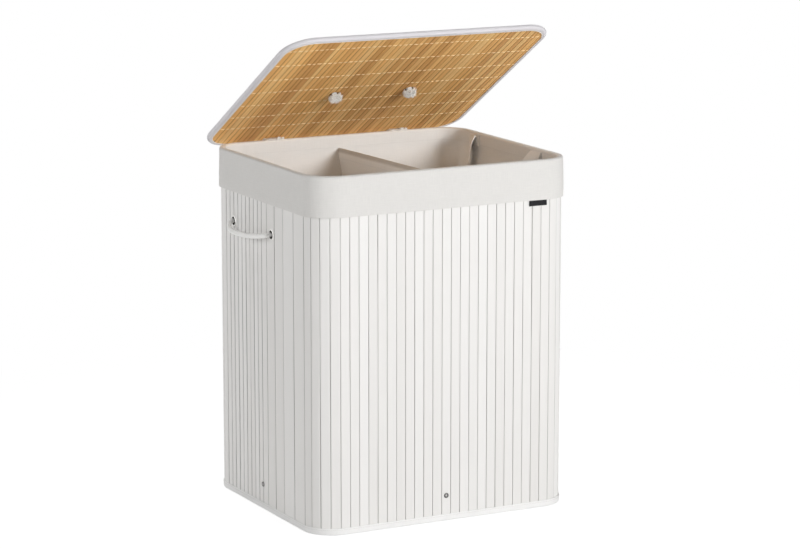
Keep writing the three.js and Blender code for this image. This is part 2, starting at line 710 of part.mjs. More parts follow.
function addLidBinding() {
  const section = [
    [-LID_BAND, 0], [-1.5, 0], [-0.4, 0.6], [0, 1.8], [0, 8.2], [-0.4, 9.4], [-1.5, 10], [-LID_BAND, 10],
    [-LID_BAND, 9], [-1, 9], [-1, 1], [-LID_BAND, 1],
  ].map(([out, height]) => [out, height + LID.bottom]);
  addLidPiece('lid_edge_binding', sweepRound(lidStations(0), section), lidBindingFabric);
}

function addLidHandle() {
  const knot = [
    [0, 9.8], [4.9, 9.8], [4.9, 0.9], [9.5, 0], [12, -5], [11.6, -11], [9.5, -16], [9.8, -20], [0, -21.5],
  ];
  const places = lidKnotPlaces();
  addLidPiece('lid_left_rope_knot', turnedAlong(knot, places[0], UP, 16), cottonRope);
  addLidPiece('lid_right_rope_knot', turnedAlong(knot, places[1], UP, 16), cottonRope);
  const route = LID_HANDLE_ROUTE.map(([along, reach, height]) => (
    new THREE.Vector3(along, reach, height + LID_HANDLE_AXIS).add(places[0])
  ));
  addLidPiece('lid_rope_handle', ropeAlong(route, 24), cottonRope);
}

// Hinge tape: sewn inside the rim, over the top of the wall, and onto the lid's rear binding
function addHingeTapes() {
  const inside = HALF_DEPTH + CUFF.inside - TOUCH_GAP - TAPE_THICKNESS / 2;
  const over = RIM_HEIGHT + TOUCH_GAP + TAPE_THICKNESS / 2;
  const centreLine = [
    [inside, 627], [inside, RIM_HEIGHT - 2.6], [inside + 0.6, RIM_HEIGHT - 0.6], [inside + 2, over],
    [HALF_DEPTH + 2.4, over], [HALF_DEPTH + 6.5, over - 2], [233.4, 646.4], [242, 641.2],
  ].map(([y, z]) => new THREE.Vector3(0, y, z));
  for (const [name, x] of [['left_hinge_tape', -TAPE_X], ['right_hinge_tape', TAPE_X]]) {
    const stations = centreLine.map((point) => (
      { point: point.clone().setX(x), across: new THREE.Vector3(1, 0, 0) }
    ));
    addPiece(name, bandAlong(stations, TAPE_WIDTH, TAPE_THICKNESS), linerFabric);
  }
}

addSlattedWall();
addBackingCloth();
addLowerBinding();
addUpperBinding();
addBase();
addSideHandles();
addLinerCuff();
addLinerBag();
addDivider();
addCarryStraps();
addSideTag();
addLidPlates();
addLidBinding();
addLidHandle();
addHingeTapes();

export default hamper;
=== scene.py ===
import math
import random

import bmesh
import bpy
import numpy as np
from mathutils import Matrix, Vector, noise

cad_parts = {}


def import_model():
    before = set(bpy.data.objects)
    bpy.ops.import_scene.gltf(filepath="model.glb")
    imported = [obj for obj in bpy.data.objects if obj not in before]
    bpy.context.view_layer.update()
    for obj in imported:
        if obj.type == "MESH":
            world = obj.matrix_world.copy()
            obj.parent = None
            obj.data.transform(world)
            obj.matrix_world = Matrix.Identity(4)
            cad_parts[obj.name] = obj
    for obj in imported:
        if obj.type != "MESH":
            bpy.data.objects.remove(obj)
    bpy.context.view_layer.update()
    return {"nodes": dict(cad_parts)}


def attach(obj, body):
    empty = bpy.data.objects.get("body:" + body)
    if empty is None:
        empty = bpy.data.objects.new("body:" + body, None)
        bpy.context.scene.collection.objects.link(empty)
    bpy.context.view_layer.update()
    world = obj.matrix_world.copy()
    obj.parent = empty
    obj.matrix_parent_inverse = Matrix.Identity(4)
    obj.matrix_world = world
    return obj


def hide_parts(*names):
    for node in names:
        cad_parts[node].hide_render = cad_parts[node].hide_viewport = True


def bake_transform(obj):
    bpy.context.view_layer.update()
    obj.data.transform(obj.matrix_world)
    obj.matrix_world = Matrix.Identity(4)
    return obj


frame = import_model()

rng = random.Random(7)
UP = Vector((0, 0, 1))
SIDES = (("left", -1), ("right", 1))

# Camera
CAMERA_PLACE = (-2.594, -5.029, 1.526)
CAMERA_YAW = 27.53
CAMERA_DOWN = 11.10
FOCAL_PIXELS = 3096
PICTURE_WIDTH = 800
SENSOR_WIDTH = 36.0

# Studio: each lamp's name, place, aim, size and power
LAMPS = (
    ("key_light", (1.6, -4.4, 1.80), (0, 0, 0.5), (1.4, 1.2), 149),
    ("front_left_light", (-3.0, -3.6, 0.85), (0, 0, 0.45), (2.4, 1.3), 26),
    ("left_fill", (-3.3, 0.5, 1.65), (0, 0, 0.4), (4.2, 1.3), 42),
    ("back_top_light", (0.4, 3.0, 3.6), (0, 0, 0.6), (2.4, 1.8), 85),
)
WORLD_STRENGTH = 0.10
WORLD_COLOUR = (1.0, 0.995, 0.985)
FLOOR_HALF = 30
FLOOR_HEIGHT = -0.0004
FLOOR_COLOUR = (0.86, 0.86, 0.86)
SHADOW_END = 0.45
WHITE_FROM = 1.3
FLOOR_GLOW = 1.29
GLOW_SHARE = 0.65

# Slatted wall, measured over the slats' outer faces
CENTRE_Y = -0.011
BODY_WIDTH = 0.522
BODY_DEPTH = 0.446
CORNER_RADIUS = 0.056
RIM_HEIGHT = 0.651
FRONT_SLATS = 23
FRONT_PITCH = 0.01852
SIDE_NARROW_SLATS = 9
SIDE_NARROW_WIDTH = 0.0171
SIDE_WIDE_WIDTHS = (0.0423, 0.043, 0.0355, 0.0329, 0.0216)
SIDE_FRONT_REACH = 0.1726
FRONT_CORNER_SLATS = 4
BACK_CORNER_SLATS = 5
FRONT_GROOVE = 0.0008
SIDE_GROOVE = 0.0015
CORNER_GROOVE = 0.0010
# How dark the painted shade down the slats' sides is, in the grooves between them, on each wall
FRONT_PAINTED_SHADE = 0.2
SIDE_PAINTED_SHADE = 0.6
CORNER_PAINTED_SHADE = 0.3
SLAT_THICKNESS = 0.0029
SLAT_BOTTOM = 0.0016
SLAT_TOP = 0.6484
SLAT_TILT = 0.010
SLAT_SET_BACK = 0.00022
SLAT_BOW = 0.00025
SLAT_SWAY = 0.00018
BACKING_OUT = -0.0036

# Points round a cloth band
BACKING_POINTS = 240
BAND_POINTS = 420
HEMMED_BAND_POINTS = 460

# Edge bindings, as (out of the slats' faces, height)
BINDING_THICKNESS = 0.0011
BOTTOM_BINDING_LINE = [
    (0.0006, 0.0123), (0.0006, 0.0115), (0.0006, 0.0095), (0.0006, 0.006), (0.0006, 0.003),
    (0.0006, 0.0018), (0.0002, 0.00095), (-0.0005, 0.0006), (-0.003, 0.0006), (-0.0063, 0.0006),
    (-0.0072, 0.001), (-0.0077, 0.002), (-0.0077, 0.006), (-0.0077, 0.0115),
]
TOP_BINDING_LINE = [
    (0.0006, 0.632), (0.0006, 0.640), (0.0006, 0.6478), (-0.0002, 0.6488), (-0.0034, 0.649),
    (-0.0068, 0.6488), (-0.0074, 0.6478), (-0.0074, 0.640), (-0.0074, 0.632),
]
BINDING_STITCHES_OUT = 0.0012
BINDING_STITCHES_HEIGHT = 0.0093

# Rivets and base tabs. Profiles are (radius, distance out of the slats' faces), the tab's line is
# (out of the slats' faces, height).
SIDE_RIVET_Y = CENTRE_Y + sum(SIDE_WIDE_WIDTHS) - SIDE_FRONT_REACH
RIVET_HEIGHT = 0.047
RIVET_PROFILE = [
    (0.0001, -0.0099), (0.0044, -0.0098), (0.0048, -0.0094), (0.0047, -0.0088), (0.0027, -0.0087),
    (0.0027, 0.0003), (0.0044, 0.0003), (0.0048, 0.0006), (0.0048, 0.0010), (0.0045, 0.0014),
    (0.0038, 0.0017), (0.0030, 0.0016), (0.0025, 0.0012), (0.0023, 0.0006), (0.0001, 0.0004),
]
RIVET_TUBE_PROFILE = [
    (0.0001, 0.0003), (0.0021, 0.0003), (0.0021, 0.0008), (0.0017, 0.0013), (0.0001, 0.0015),
]
TAB_WIDTH = 0.052
TAB_LINE = [
    (-0.0078, 0.0615), (-0.0078, 0.050), (-0.0078, 0.035), (-0.0080, 0.023), (-0.0086, 0.0200),
    (-0.0105, 0.0189), (-0.016, 0.0189), (-0.028, 0.0189), (-0.0444, 0.0189),
]

# Liner
CLOTH = 0.0011
CUFF_OUT = 0.00205
CUFF_IN = -0.00885
CUFF_BOTTOM = 0.5775
CUFF_SEAM = 0.6252
CUFF_HEM = 0.013
CUFF_STITCHES = CUFF_BOTTOM + 0.0105
FOLD_CENTRE = 0.6457
FOLD_ROW = 14
CUFF_FLARE = 0.0009
CUFF_DRAWN_IN = 0.0009
CUFF_STITCH_DEPTH = 0.00022
CUFF_STITCH_REACH = 0.0012
CUFF_CORNER_PULL = 0.0011
BAG_TOP = 0.6251
BAG_FLOOR = 0.0206
BAG_INSET = -0.0276
BAG_TOP_INSET = -0.0088
BAG_THICKNESS = 0.001
BAG_FREE_BELOW = 0.545
BAG_FOOT_TOP = 0.045
BAG_FOOT_INSET = 0.0055
BAG_SLACK = 0.0032
BAG_LEAST_SLACK = 0.00025
SEAM_REACH = 0.022
FLOOR_RINGS = (0.96, 0.9, 0.82, 0.72, 0.6, 0.46, 0.3, 0.15, 0.04)
DIVIDER_TOP = 0.6215
DIVIDER_THICKNESS = 0.0012
DIVIDER_SIDE_GAP = 0.0008
DIVIDER_SHIFT = 0.002
DIVIDER_BULGE = 0.0045
DIVIDER_SAG = 0.0012
HEM_TOP = 0.6308
HEM_BOTTOM = 0.609
# Height above which the hem's top is painted with shade
HEM_SHADE_FROM = 0.6255
HEM_TILT = 0.004
HEM_WIDTH = 0.0042
HEM_THICKNESS = 0.0008
HEM_STITCHES = HEM_BOTTOM + 0.0028
HEM_REACH_HEIGHT = 0.618

# Ripples in cloth, each as (size, waves per metre, seed)
BINDING_PUCKER = ((0.00022, 90, 3), (0.0002, 25, 8))
CUFF_SWELL = ((0.0010, 8, 1), (0.0006, 21, 4))
BAG_FOLDS = ((1, 13, 11), (0.6, 31, 13))
BAG_CREASES = ((0.0003, 34, 17), (0.00012, 90, 19))
LID_BINDING_PUCKER = ((0.00012, 110, 43), (0.0003, 22, 47))

# Carry straps: a route of (inward, y, z, twist)
STRAP_WIDTH = 0.034
STRAP_THICKNESS = 0.0015
STRAP_CUP = 0.0006
STRAP_AXIS_X = 0.2499
STRAP_TOP = 0.647
STRAP_JOINT = 0.627
STRAP_ROUTE = [
    (-0.0018, -0.108, 0.6450, -0.05), (-0.0060, -0.108, 0.6390, -0.16), (-0.0120, -0.1075, 0.6300, -0.32),
    (-0.0172, -0.106, 0.6190, -0.42), (-0.0222, -0.103, 0.6060, -0.42), (-0.0285, -0.090, 0.5760, -0.25),
    (-0.0340, -0.062, 0.5340, 0.2), (-0.0360, -0.024, 0.5060, 0.8), (-0.0370, 0.011, 0.4990, 1.1),
    (-0.0360, 0.046, 0.5060, 0.8), (-0.0340, 0.084, 0.5340, 0.6), (-0.0260, 0.112, 0.5720, 0.55),
    (-0.0140, 0.1235, 0.6040, 0.50), (-0.0100, 0.1275, 0.6200, 0.48), (-0.0070, 0.129, 0.6320, 0.40),
    (-0.0034, 0.130, 0.6440, 0.20),
]

# Side rope handles, as (along, outward, up) from the front eyelet
ROPE_RADIUS = 0.005
ROPE_LAY = 0.030
ROPE_STEP = 0.0014
EYELET_HEIGHT = 0.5213
EYELET_HOLE = 0.0083
EYELET_ENDS = (("rear", 0.1222), ("front", -0.040))
EYELET_PROFILE = [
    (0.0079, 0.0007), (0.0080, 0.0011), (0.0083, 0.0014), (0.0087, 0.0015), (0.0091, 0.0014),
    (0.0095, 0.0010), (0.0097, 0.0006), (0.0097, 0.0003), (0.0082, 0.0003), (0.0082, -0.0071),
    (0.0097, -0.0071), (0.0097, -0.0077), (0.0090, -0.0080), (0.0080, -0.0079), (0.0079, -0.0074),
]
# A dark ring inside each eyelet, round the rope, from the barrel's inside in to near the rope: painted shade
# for the hole
EYELET_HOLE_SHADE = [(0.0080, 0.0009), (0.0080, -0.0074), (0.0040, -0.0074), (0.0040, 0.0004), (0.0070, 0.0009)]
HANDLE_AXIS = 0.007
HANDLE_ROUTE = [
    (0, 0, 0), (0.0014, 0.0026, -0.0006), (0.005, 0.0046, -0.0015), (0.012, 0.0067, -0.0028),
    (0.0265, 0.0092, -0.0052), (0.045, 0.0106, -0.0078), (0.0636, 0.011, -0.0099), (0.079, 0.011, -0.0112),
    (0.095, 0.011, -0.0123), (0.112, 0.0107, -0.013), (0.130, 0.0097, -0.0132), (0.144, 0.0082, -0.0123),
    (0.1526, 0.0064, -0.0097), (0.158, 0.0044, -0.0063), (0.161, 0.0022, -0.0029), (0.1622, 0, 0),
]
STUB_REARWARD = 0.0032
STUB_RADIUS = 0.0045
SIDE_KNOT = {"size": 0.0021, "rope": 0.0037}
SIDE_KNOT_DEPTH = 0.0152
SIDE_FRAY_DEPTH = 0.019
SIDE_FRAY = {"count": 50, "length": 0.005, "spread": 0.7, "root_radius": 0.0035, "thickness": 0.0006}

# Lid, laid out closed
LID_WIDTH = 0.540
LID_DEPTH = 0.466
LID_RADIUS = 0.0564
LID_SHIFT = (-0.006, 0.004)
LID_BOTTOM = 0.652
LID_THICKNESS = 0.010
LID_BAND = 0.010
LID_OPEN_ANGLE = 31
LID_GROOVE = 0.0015
LID_SLAT_THICKNESS = 0.0019
LID_MAT_INSET = 0.0028
LID_TOP_FACE = 0.0087
LID_UNDER_FACE = 0.0014
LID_TAPE_THICKNESS = 0.0010
LID_TAPE_RADIUS = 0.0044
HINGE_Y = 0.221
HINGE_Z = 0.635
STRIP_PITCH = 0.0104
STRIP_SHARES = (0.88, 1.12)
STRIP_GAP = 0.0007
STITCH_ROWS = (-0.1875, -0.126, -0.0645, -0.009, 0.048, 0.102, 0.1545)
KNOT_SPACING = 0.155
KNOT_Y = 0.018
KNOT_HOLE = 0.0102
LID_STUB_RADIUS = 0.0049
LID_KNOT = {"size": 0.0016, "rope": 0.0031}
LID_KNOT_DEPTH = 0.0066
LID_FRAYS = (
    (0.0058, {"count": 280, "length": 0.0108, "spread": 2.15, "root_radius": 0.0040, "thickness": 0.0010}),
    (0.0056, {"count": 240, "length": 0.0122, "spread": 2.0, "root_radius": 0.0045, "thickness": 0.0004}),
)
HANDLE_HOLE = 0.0056
LID_HANDLE_AXIS = 0.0152
LID_HANDLE_ROUTE = [
    (0, 0, 0), (0.0015, 0.012, 0), (0.008, 0.027, 0), (0.026, 0.041, 0), (0.050, 0.047, 0),
    (0.0775, 0.0485, 0), (0.105, 0.047, 0), (0.129, 0.041, 0), (0.147, 0.027, 0),
    (0.1535, 0.012, 0), (0.155, 0, 0),
]

# Hinge tapes: (y from the rim's outer face, height)
TAPE_X = 0.131
TAPE_WIDTH = 0.038
TAPE_THICKNESS = 0.0009
TAPE_LINE = [
    (-0.0080, 0.6515), (-0.0060, 0.6520), (-0.003, 0.6522), (0.0024, 0.6520), (0.0065, 0.6499),
    (0.0104, 0.6464), (0.019, 0.6412),
]
TIE_LOOPS = 9
TIE_FRAYS = ((0.007, 26, 0.0048), (0.0155, 16, 0.0034), (-0.012, 10, 0.0020))

# Side tag: (out of the wall, height)
TAG_LEFT = 0.169
TAG_RIGHT = 0.205
TAG_BOTTOM = 0.567
TAG_TOP = 0.592
TAG_THICKNESS = 0.00035
TAG_CURL = 0.0006
TAG_LINE = [
    (-0.0004, TAG_TOP), (-0.0004, 0.580), (-0.0004, 0.5685), (-0.0006, 0.5674), (-0.0009, 0.5672),
    (-0.0012, 0.5675), (-0.0013, 0.5685), (-0.0012, 0.580), (-0.0011, TAG_TOP - 0.001),
]

LID_MATRIX = (
    Matrix.Translation((0, HINGE_Y + CENTRE_Y, HINGE_Z))
    @ Matrix.Rotation(math.radians(-LID_OPEN_ANGLE), 4, "X")
)


class Nodes:
    """Adds nodes to a tree. Inputs are numbers, colours or sockets."""

    def __init__(self, tree):
        self.tree = tree

    def put(self, socket, value):
        if isinstance(value, bpy.types.NodeSocket):
            self.tree.links.new(value, socket)
        else:
            socket.default_value = (*value, 1) if socket.type == "RGBA" else value

    def node(self, kind, inputs=(), **settings):
        made = self.tree.nodes.new("ShaderNode" + kind)
        for key, value in settings.items():
            setattr(made, key, value)
        for key, value in dict(inputs).items():
            self.put(made.inputs[key], value)
        return made

    def math(self, operation, a, b=0.0):
        return self.node("Math", {0: a, 1: b}, operation=operation).outputs[0]

    def mix_shaders(self, factor, a, b):
        return self.node("MixShader", {0: factor, 1: a.outputs[0], 2: b.outputs[0]})

    def object_place(self):
        return self.node("TexCoord").outputs["Object"]


class Shader(Nodes):
    """A node material under construction."""

    def __init__(self, name):
        self.material = bpy.data.materials.new(name)
        self.material.use_nodes = True
        super().__init__(self.material.node_tree)
        self.surface = self.tree.nodes["Principled BSDF"]

    def cloth_uv(self):
        return self.node("UVMap", uv_map="cloth").outputs[0]

    def noise(self, vector, scale, detail=2.0, roughness=0.5):
        scaled = self.node("Mapping", {"Vector": vector, "Scale": scale}).outputs[0]
        inputs = {"Vector": scaled, "Scale": 1.0, "Detail": detail, "Roughness": roughness}
        return self.node("TexNoise", inputs).outputs["Fac"]

    def ramp(self, factor, stops):
        made = self.node("ValToRGB", {0: factor})
        elements = made.color_ramp.elements
        while len(elements) < len(stops):
            elements.new(0.5)
        for element, (position, colour) in zip(elements, stops):
            element.position = position
            element.color = (*colour, 1)
        return made.outputs[0]

    def mix(self, factor, a, b, blend="MIX"):
        inputs = {"Factor": factor, "A": a, "B": b}
        return self.node("Mix", inputs, data_type="RGBA", blend_type=blend).outputs["Result"]

    def between(self, value, low, high):
        return self.node("MapRange", {"Value": value, "To Min": low, "To Max": high}).outputs[0]

    def attribute(self, name):
        return self.node("Attribute", attribute_name=name).outputs["Fac"]

    def bump(self, height, distance, strength):
        return self.node("Bump", {"Height": height, "Distance": distance, "Strength": strength}).outputs[0]

    def finish(self, colour, roughness, normal, **fixed):
        for key, value in {"Base_Color": colour, "Roughness": roughness, "Normal": normal, **fixed}.items():
            self.put(self.surface.inputs[key.replace("_", " ")], value)
        return self.material


def painted_bamboo(name, grain_scale, broad_scale, on_wall):
    """White paint over bamboo: faint grain along the slats, each a slightly different white."""
    s = Shader(name)
    place = s.object_place()
    grain = s.noise(place, grain_scale, detail=4, roughness=0.6)
    broad = s.noise(place, broad_scale)
    slat = s.mix(s.attribute("tone"), (0.80, 0.785, 0.765), (0.86, 0.85, 0.835))
    colour = s.mix(s.between(grain, 0.0, 0.12), slat, (0.66, 0.63, 0.59))
    if on_wall:
        colour = s.mix(s.between(broad, 0.0, 0.10), colour, (0.90, 0.89, 0.88))
        # Painted shade down the slats' sides, where the grooves between them lie in shadow
        colour = s.mix(s.attribute("groove"), colour, (0.16, 0.155, 0.15))
    return s.finish(colour, s.between(broad, 0.40, 0.56), s.bump(grain, 0.0003, 0.22), Specular_IOR_Level=0.4)


def natural_bamboo():
    """Golden brown strips: a colour of its own for each, fine fibres and darker streaks along it."""
    s = Shader("natural_bamboo")
    place = s.object_place()
    fibre = s.noise(place, (1400, 14, 1400), detail=5, roughness=0.65)
    streak = s.noise(place, (420, 5, 420), detail=3, roughness=0.55)
    patch = s.noise(place, (24, 9, 24))
    strip = s.ramp(s.attribute("tone"), [
        (0.0, (0.70, 0.366, 0.118)),
        (0.35, (0.87, 0.482, 0.158)),
        (0.70, (0.96, 0.565, 0.200)),
        (1.0, (0.99, 0.650, 0.265)),
    ])
    dark = s.ramp(streak, [(0.36, (1, 1, 1)), (0.54, (0, 0, 0))])
    colour = s.mix(s.math("MULTIPLY", dark, 0.26), strip, (0.36, 0.17, 0.05))
    light = s.ramp(fibre, [(0.50, (0, 0, 0)), (0.74, (1, 1, 1))])
    colour = s.mix(s.math("MULTIPLY", light, 0.12), colour, (0.95, 0.70, 0.38))
    colour = s.mix(s.between(patch, 0.0, 0.20), colour, (0.80, 0.40, 0.20))
    # Painted shade down each strip's sides, in the gaps between strips
    colour = s.mix(s.attribute("groove"), colour, (0.21, 0.088, 0.022))
    normal = s.bump(fibre, 0.0002, 0.25)
    return s.finish(colour, s.between(streak, 0.55, 0.72), normal, Specular_IOR_Level=0.15)


def woven(name, colour, thread, crown_highlight=0.06, slub=0.05, depth=0.00012, painted_shading_colour=None):
    """Plain-woven cloth on UVs in metres: crossing threads of the given width, with thick and thin places.
    The painted shading colour shows where the mesh's groove value is 1: painted light on the liner's inside,
    painted shade along the top of the divider's hem."""
    s = Shader(name)
    uv = s.cloth_uv()
    split = s.node("SeparateXYZ", {0: uv})
    across, along = (s.math("DIVIDE", split.outputs[axis], thread) for axis in ("X", "Y"))
    warp, weft = (s.math("ABSOLUTE", s.math("SINE", s.math("MULTIPLY", t, math.pi))) for t in (across, along))
    cells = s.math("ADD", s.math("FLOOR", across), s.math("FLOOR", along))
    over = s.math("FLOORED_MODULO", cells, 2.0)
    height = s.node("Mix", {"Factor": over, "A": warp, "B": weft}).outputs["Result"]
    yarns = [s.math("MULTIPLY", s.noise(uv, scale), 0.5) for scale in ((700, 45, 1), (45, 700, 1))]
    yarn = s.math("ADD", *yarns)
    cloudy = s.noise(s.object_place(), (14, 14, 14), detail=3)
    dyed = colour if painted_shading_colour is None else s.mix(s.attribute("groove"), colour, painted_shading_colour)
    # Painted highlight on the threads' crowns, with painted shade where they dip between threads
    base = s.mix(s.math("MULTIPLY", height, crown_highlight), dyed, (1.0, 1.0, 1.0))
    slubs = s.ramp(yarn, [(0.40, (slub * 4,) * 3), (0.62, (0, 0, 0))])
    for shade in (slubs, s.between(cloudy, 0.0, 0.10)):
        base = s.mix(shade, base, (0.80, 0.80, 0.80), "MULTIPLY")
    normal = s.bump(s.math("ADD", height, s.math("MULTIPLY", yarn, 1.6)), depth, 0.5)
    return s.finish(base, 0.9, normal, Sheen_Weight=0.12, Sheen_Roughness=0.5, Specular_IOR_Level=0.2)


def twisted_cotton(name, colour):
    """Loose cotton yarn: fibres that run along each strand, fuzzy and matt."""
    s = Shader(name)
    fibres = s.noise(s.cloth_uv(), (2600, 260, 1), detail=4, roughness=0.6)
    lumps = s.noise(s.cloth_uv(), (240, 90, 1))
    darker = tuple(c * 0.72 for c in colour)
    base = s.mix(s.between(fibres, 0.0, 0.10), colour, darker)
    base = s.mix(s.between(lumps, 0.0, 0.04), base, darker)
    normal = s.bump(fibres, 0.0003, 0.4)
    return s.finish(base, 0.92, normal, Sheen_Weight=0.2, Sheen_Roughness=0.4, Specular_IOR_Level=0.15)


def sewing_thread(name, colour):
    s = Shader(name)
    twist = s.noise(s.object_place(), (2600, 2600, 2600))
    base = s.mix(s.between(twist, 0.0, 0.3), colour, tuple(c * 0.75 for c in colour))
    return s.finish(base, 0.75, s.bump(twist, 0.0002, 0.4), Specular_IOR_Level=0.25)


def plated_metal(name, bright, dull):
    s = Shader(name)
    place = s.object_place()
    wear = s.noise(place, (900, 900, 900), detail=4)
    colour = s.mix(s.between(s.noise(place, (160, 160, 160)), 0.0, 0.6), bright, dull)
    return s.finish(colour, s.between(wear, 0.24, 0.44), s.bump(wear, 0.0001, 0.25), Metallic=1.0)


def painted_hole_shade():
    """Near-black painted shade for an eyelet's hole: a dark ring round the rope where the hole lies in
    shadow.
    """
    s = Shader("painted_hole_shade")
    mottling = s.noise(s.object_place(), (500, 500, 500), detail=3)
    colour = s.mix(s.between(mottling, 0.0, 0.6), (0.050, 0.048, 0.043), (0.030, 0.028, 0.025))
    return s.finish(colour, s.between(mottling, 0.8, 1.0), s.bump(mottling, 0.0001, 0.3), Specular_IOR_Level=0.05)


def fibreboard():
    s = Shader("fibreboard")
    place = s.object_place()
    specks = s.noise(place, (1300, 1300, 1300), detail=5, roughness=0.7)
    clouds = s.noise(place, (70, 70, 70), detail=3)
    colour = s.mix(s.between(specks, 0.0, 0.7), (0.34, 0.19, 0.085), (0.21, 0.11, 0.045))
    colour = s.mix(s.between(clouds, 0.0, 0.3), colour, (0.28, 0.16, 0.075))
    return s.finish(colour, s.between(specks, 0.7, 0.9), s.bump(specks, 0.0003, 0.4), Specular_IOR_Level=0.1)


PAINTED_BAMBOO = painted_bamboo("painted_bamboo", (900, 900, 16), (60, 60, 5), on_wall=True)
LID_SLAT_PAINT = painted_bamboo("painted_lid_slats", (900, 16, 900), (60, 5, 60), on_wall=False)
NATURAL_BAMBOO = natural_bamboo()
# Painted light: where this cloth faces into the bins it gets a paler colour, standing in for the light that
# reaches them
LINER_CLOTH = woven("liner_cloth", (0.765, 0.750, 0.725), thread=0.0009, painted_shading_colour=(0.90, 0.888, 0.866))
# Painted light: the divider, of the liner's fabric, is paler than the liner's outside, standing in for light
# inside the bins
DIVIDER_CLOTH = woven("divider_cloth", (0.94, 0.905, 0.86), thread=0.0009)
# The hem is of the divider's paler cloth, painted light, with its painted shading colour as painted shade
# along its top
HEM_CLOTH = woven("hem_cloth", (0.94, 0.905, 0.86), thread=0.0009, painted_shading_colour=(0.62, 0.57, 0.51))
BINDING_TAPE = woven("binding_tape", (0.93, 0.925, 0.915), thread=0.0006, slub=0.03)
LID_TAPE = woven("lid_tape", (0.735, 0.715, 0.74), thread=0.0006, crown_highlight=0.03, slub=0.015, depth=0.00005)
HINGE_TAPE = woven("hinge_tape_cloth", (0.90, 0.88, 0.84), thread=0.0009)
WEBBING = woven("webbing", (0.97, 0.945, 0.91), thread=0.0013, crown_highlight=0.2, depth=0.0003)
TAG_CLOTH = woven("tag_cloth", (0.012, 0.012, 0.014), thread=0.0004, crown_highlight=0.01, slub=0.02)
COTTON = twisted_cotton("cotton_rope", (0.99, 0.985, 0.965))
WHITE_THREAD = sewing_thread("white_thread", (0.80, 0.79, 0.77))
CREAM_THREAD = sewing_thread("cream_thread", (0.98, 0.90, 0.76))
STRAW_THREAD = sewing_thread("straw_thread", (1.0, 0.79, 0.46))
NICKEL = plated_metal("nickel_plate", (0.86, 0.85, 0.83), (0.72, 0.71, 0.69))
RIVET_STEEL = plated_metal("rivet_steel", (0.17, 0.165, 0.16), (0.10, 0.098, 0.095))
RIVET_TUBE = plated_metal("rivet_tube", (0.50, 0.49, 0.475), (0.36, 0.355, 0.345))
PAINTED_HOLE_SHADE = painted_hole_shade()
FIBREBOARD = fibreboard()


class Builder:
    """Collects the faces of one piece, with UVs in metres, and a tone and a painted shading value from 0 to
    1, which the materials read as painted shade in grooves and along the hem and as painted light on the
    liner's inside.
    """

    def __init__(self):
        self.points = []
        self.faces = []
        self.uvs = []
        self.tones = []
        self.painted_shades = []

    def add(self, points, faces, uvs, tone=0.5, groove=None):
        first = len(self.points)
        self.points.extend(map(tuple, points))
        self.faces.extend([index + first for index in face] for face in faces)
        self.uvs.extend(uvs)
        self.tones.extend([tone] * len(points))
        self.painted_shades.extend(groove or [0.0] * len(points))
        return self

    def mesh(self, name):
        made = bpy.data.meshes.new(name)
        made.from_pydata(self.points, [], self.faces)
        return made

    def piece(self, name, material, slot, replaced=None, body="hamper", sharp=40):
        mesh = self.mesh(name)
        mesh.uv_layers.new(name="cloth").data.foreach_set("uv", np.array(self.uvs, np.float32).ravel())
        # The groove attribute holds the painted shading: painted shade in grooves and along the hem, painted
        # light on the liner's inside.
        for attribute, values in (("tone", self.tones), ("groove", self.painted_shades)):
            layer = mesh.attributes.new(attribute, "FLOAT", "POINT")
            layer.data.foreach_set("value", np.array(values, np.float32))
        mesh.materials.append(material)
        face_outwards(mesh)
        mesh.shade_smooth()
        mesh.set_sharp_from_angle(angle=math.radians(sharp))
        made = linked(name, mesh)
        if body == "lid":
            made.matrix_world = LID_MATRIX
        if body is not None:
            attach(made, body)
        if replaced:
            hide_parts(replaced)
        return made


def linked(name, data):
    made = bpy.data.objects.new(name, data)
    bpy.context.scene.collection.objects.link(made)
    return made


def face_outwards(mesh):
    work = bmesh.new()
    work.from_mesh(mesh)
    bmesh.ops.recalc_face_normals(work, faces=work.faces)
    work.to_mesh(mesh)
    work.free()


def jitter(size):
    return rng.uniform(-1, 1) * size


def smoothstep(low, high, x):
    t = np.clip((np.asarray(x, float) - low) / (high - low), 0, 1)
    return t * t * (3 - 2 * t)


def ripple(point, scale, seed):
    """Smooth noise from about -1 to 1 at a point, with features 1 / scale metres long."""
    x, y, z = point
    return noise.noise(Vector((x * scale + seed, y * scale - seed, z * scale + 2 * seed)))


def ripples(point, waves):
    return sum(size * ripple(point, scale, seed) for size, scale, seed in waves)


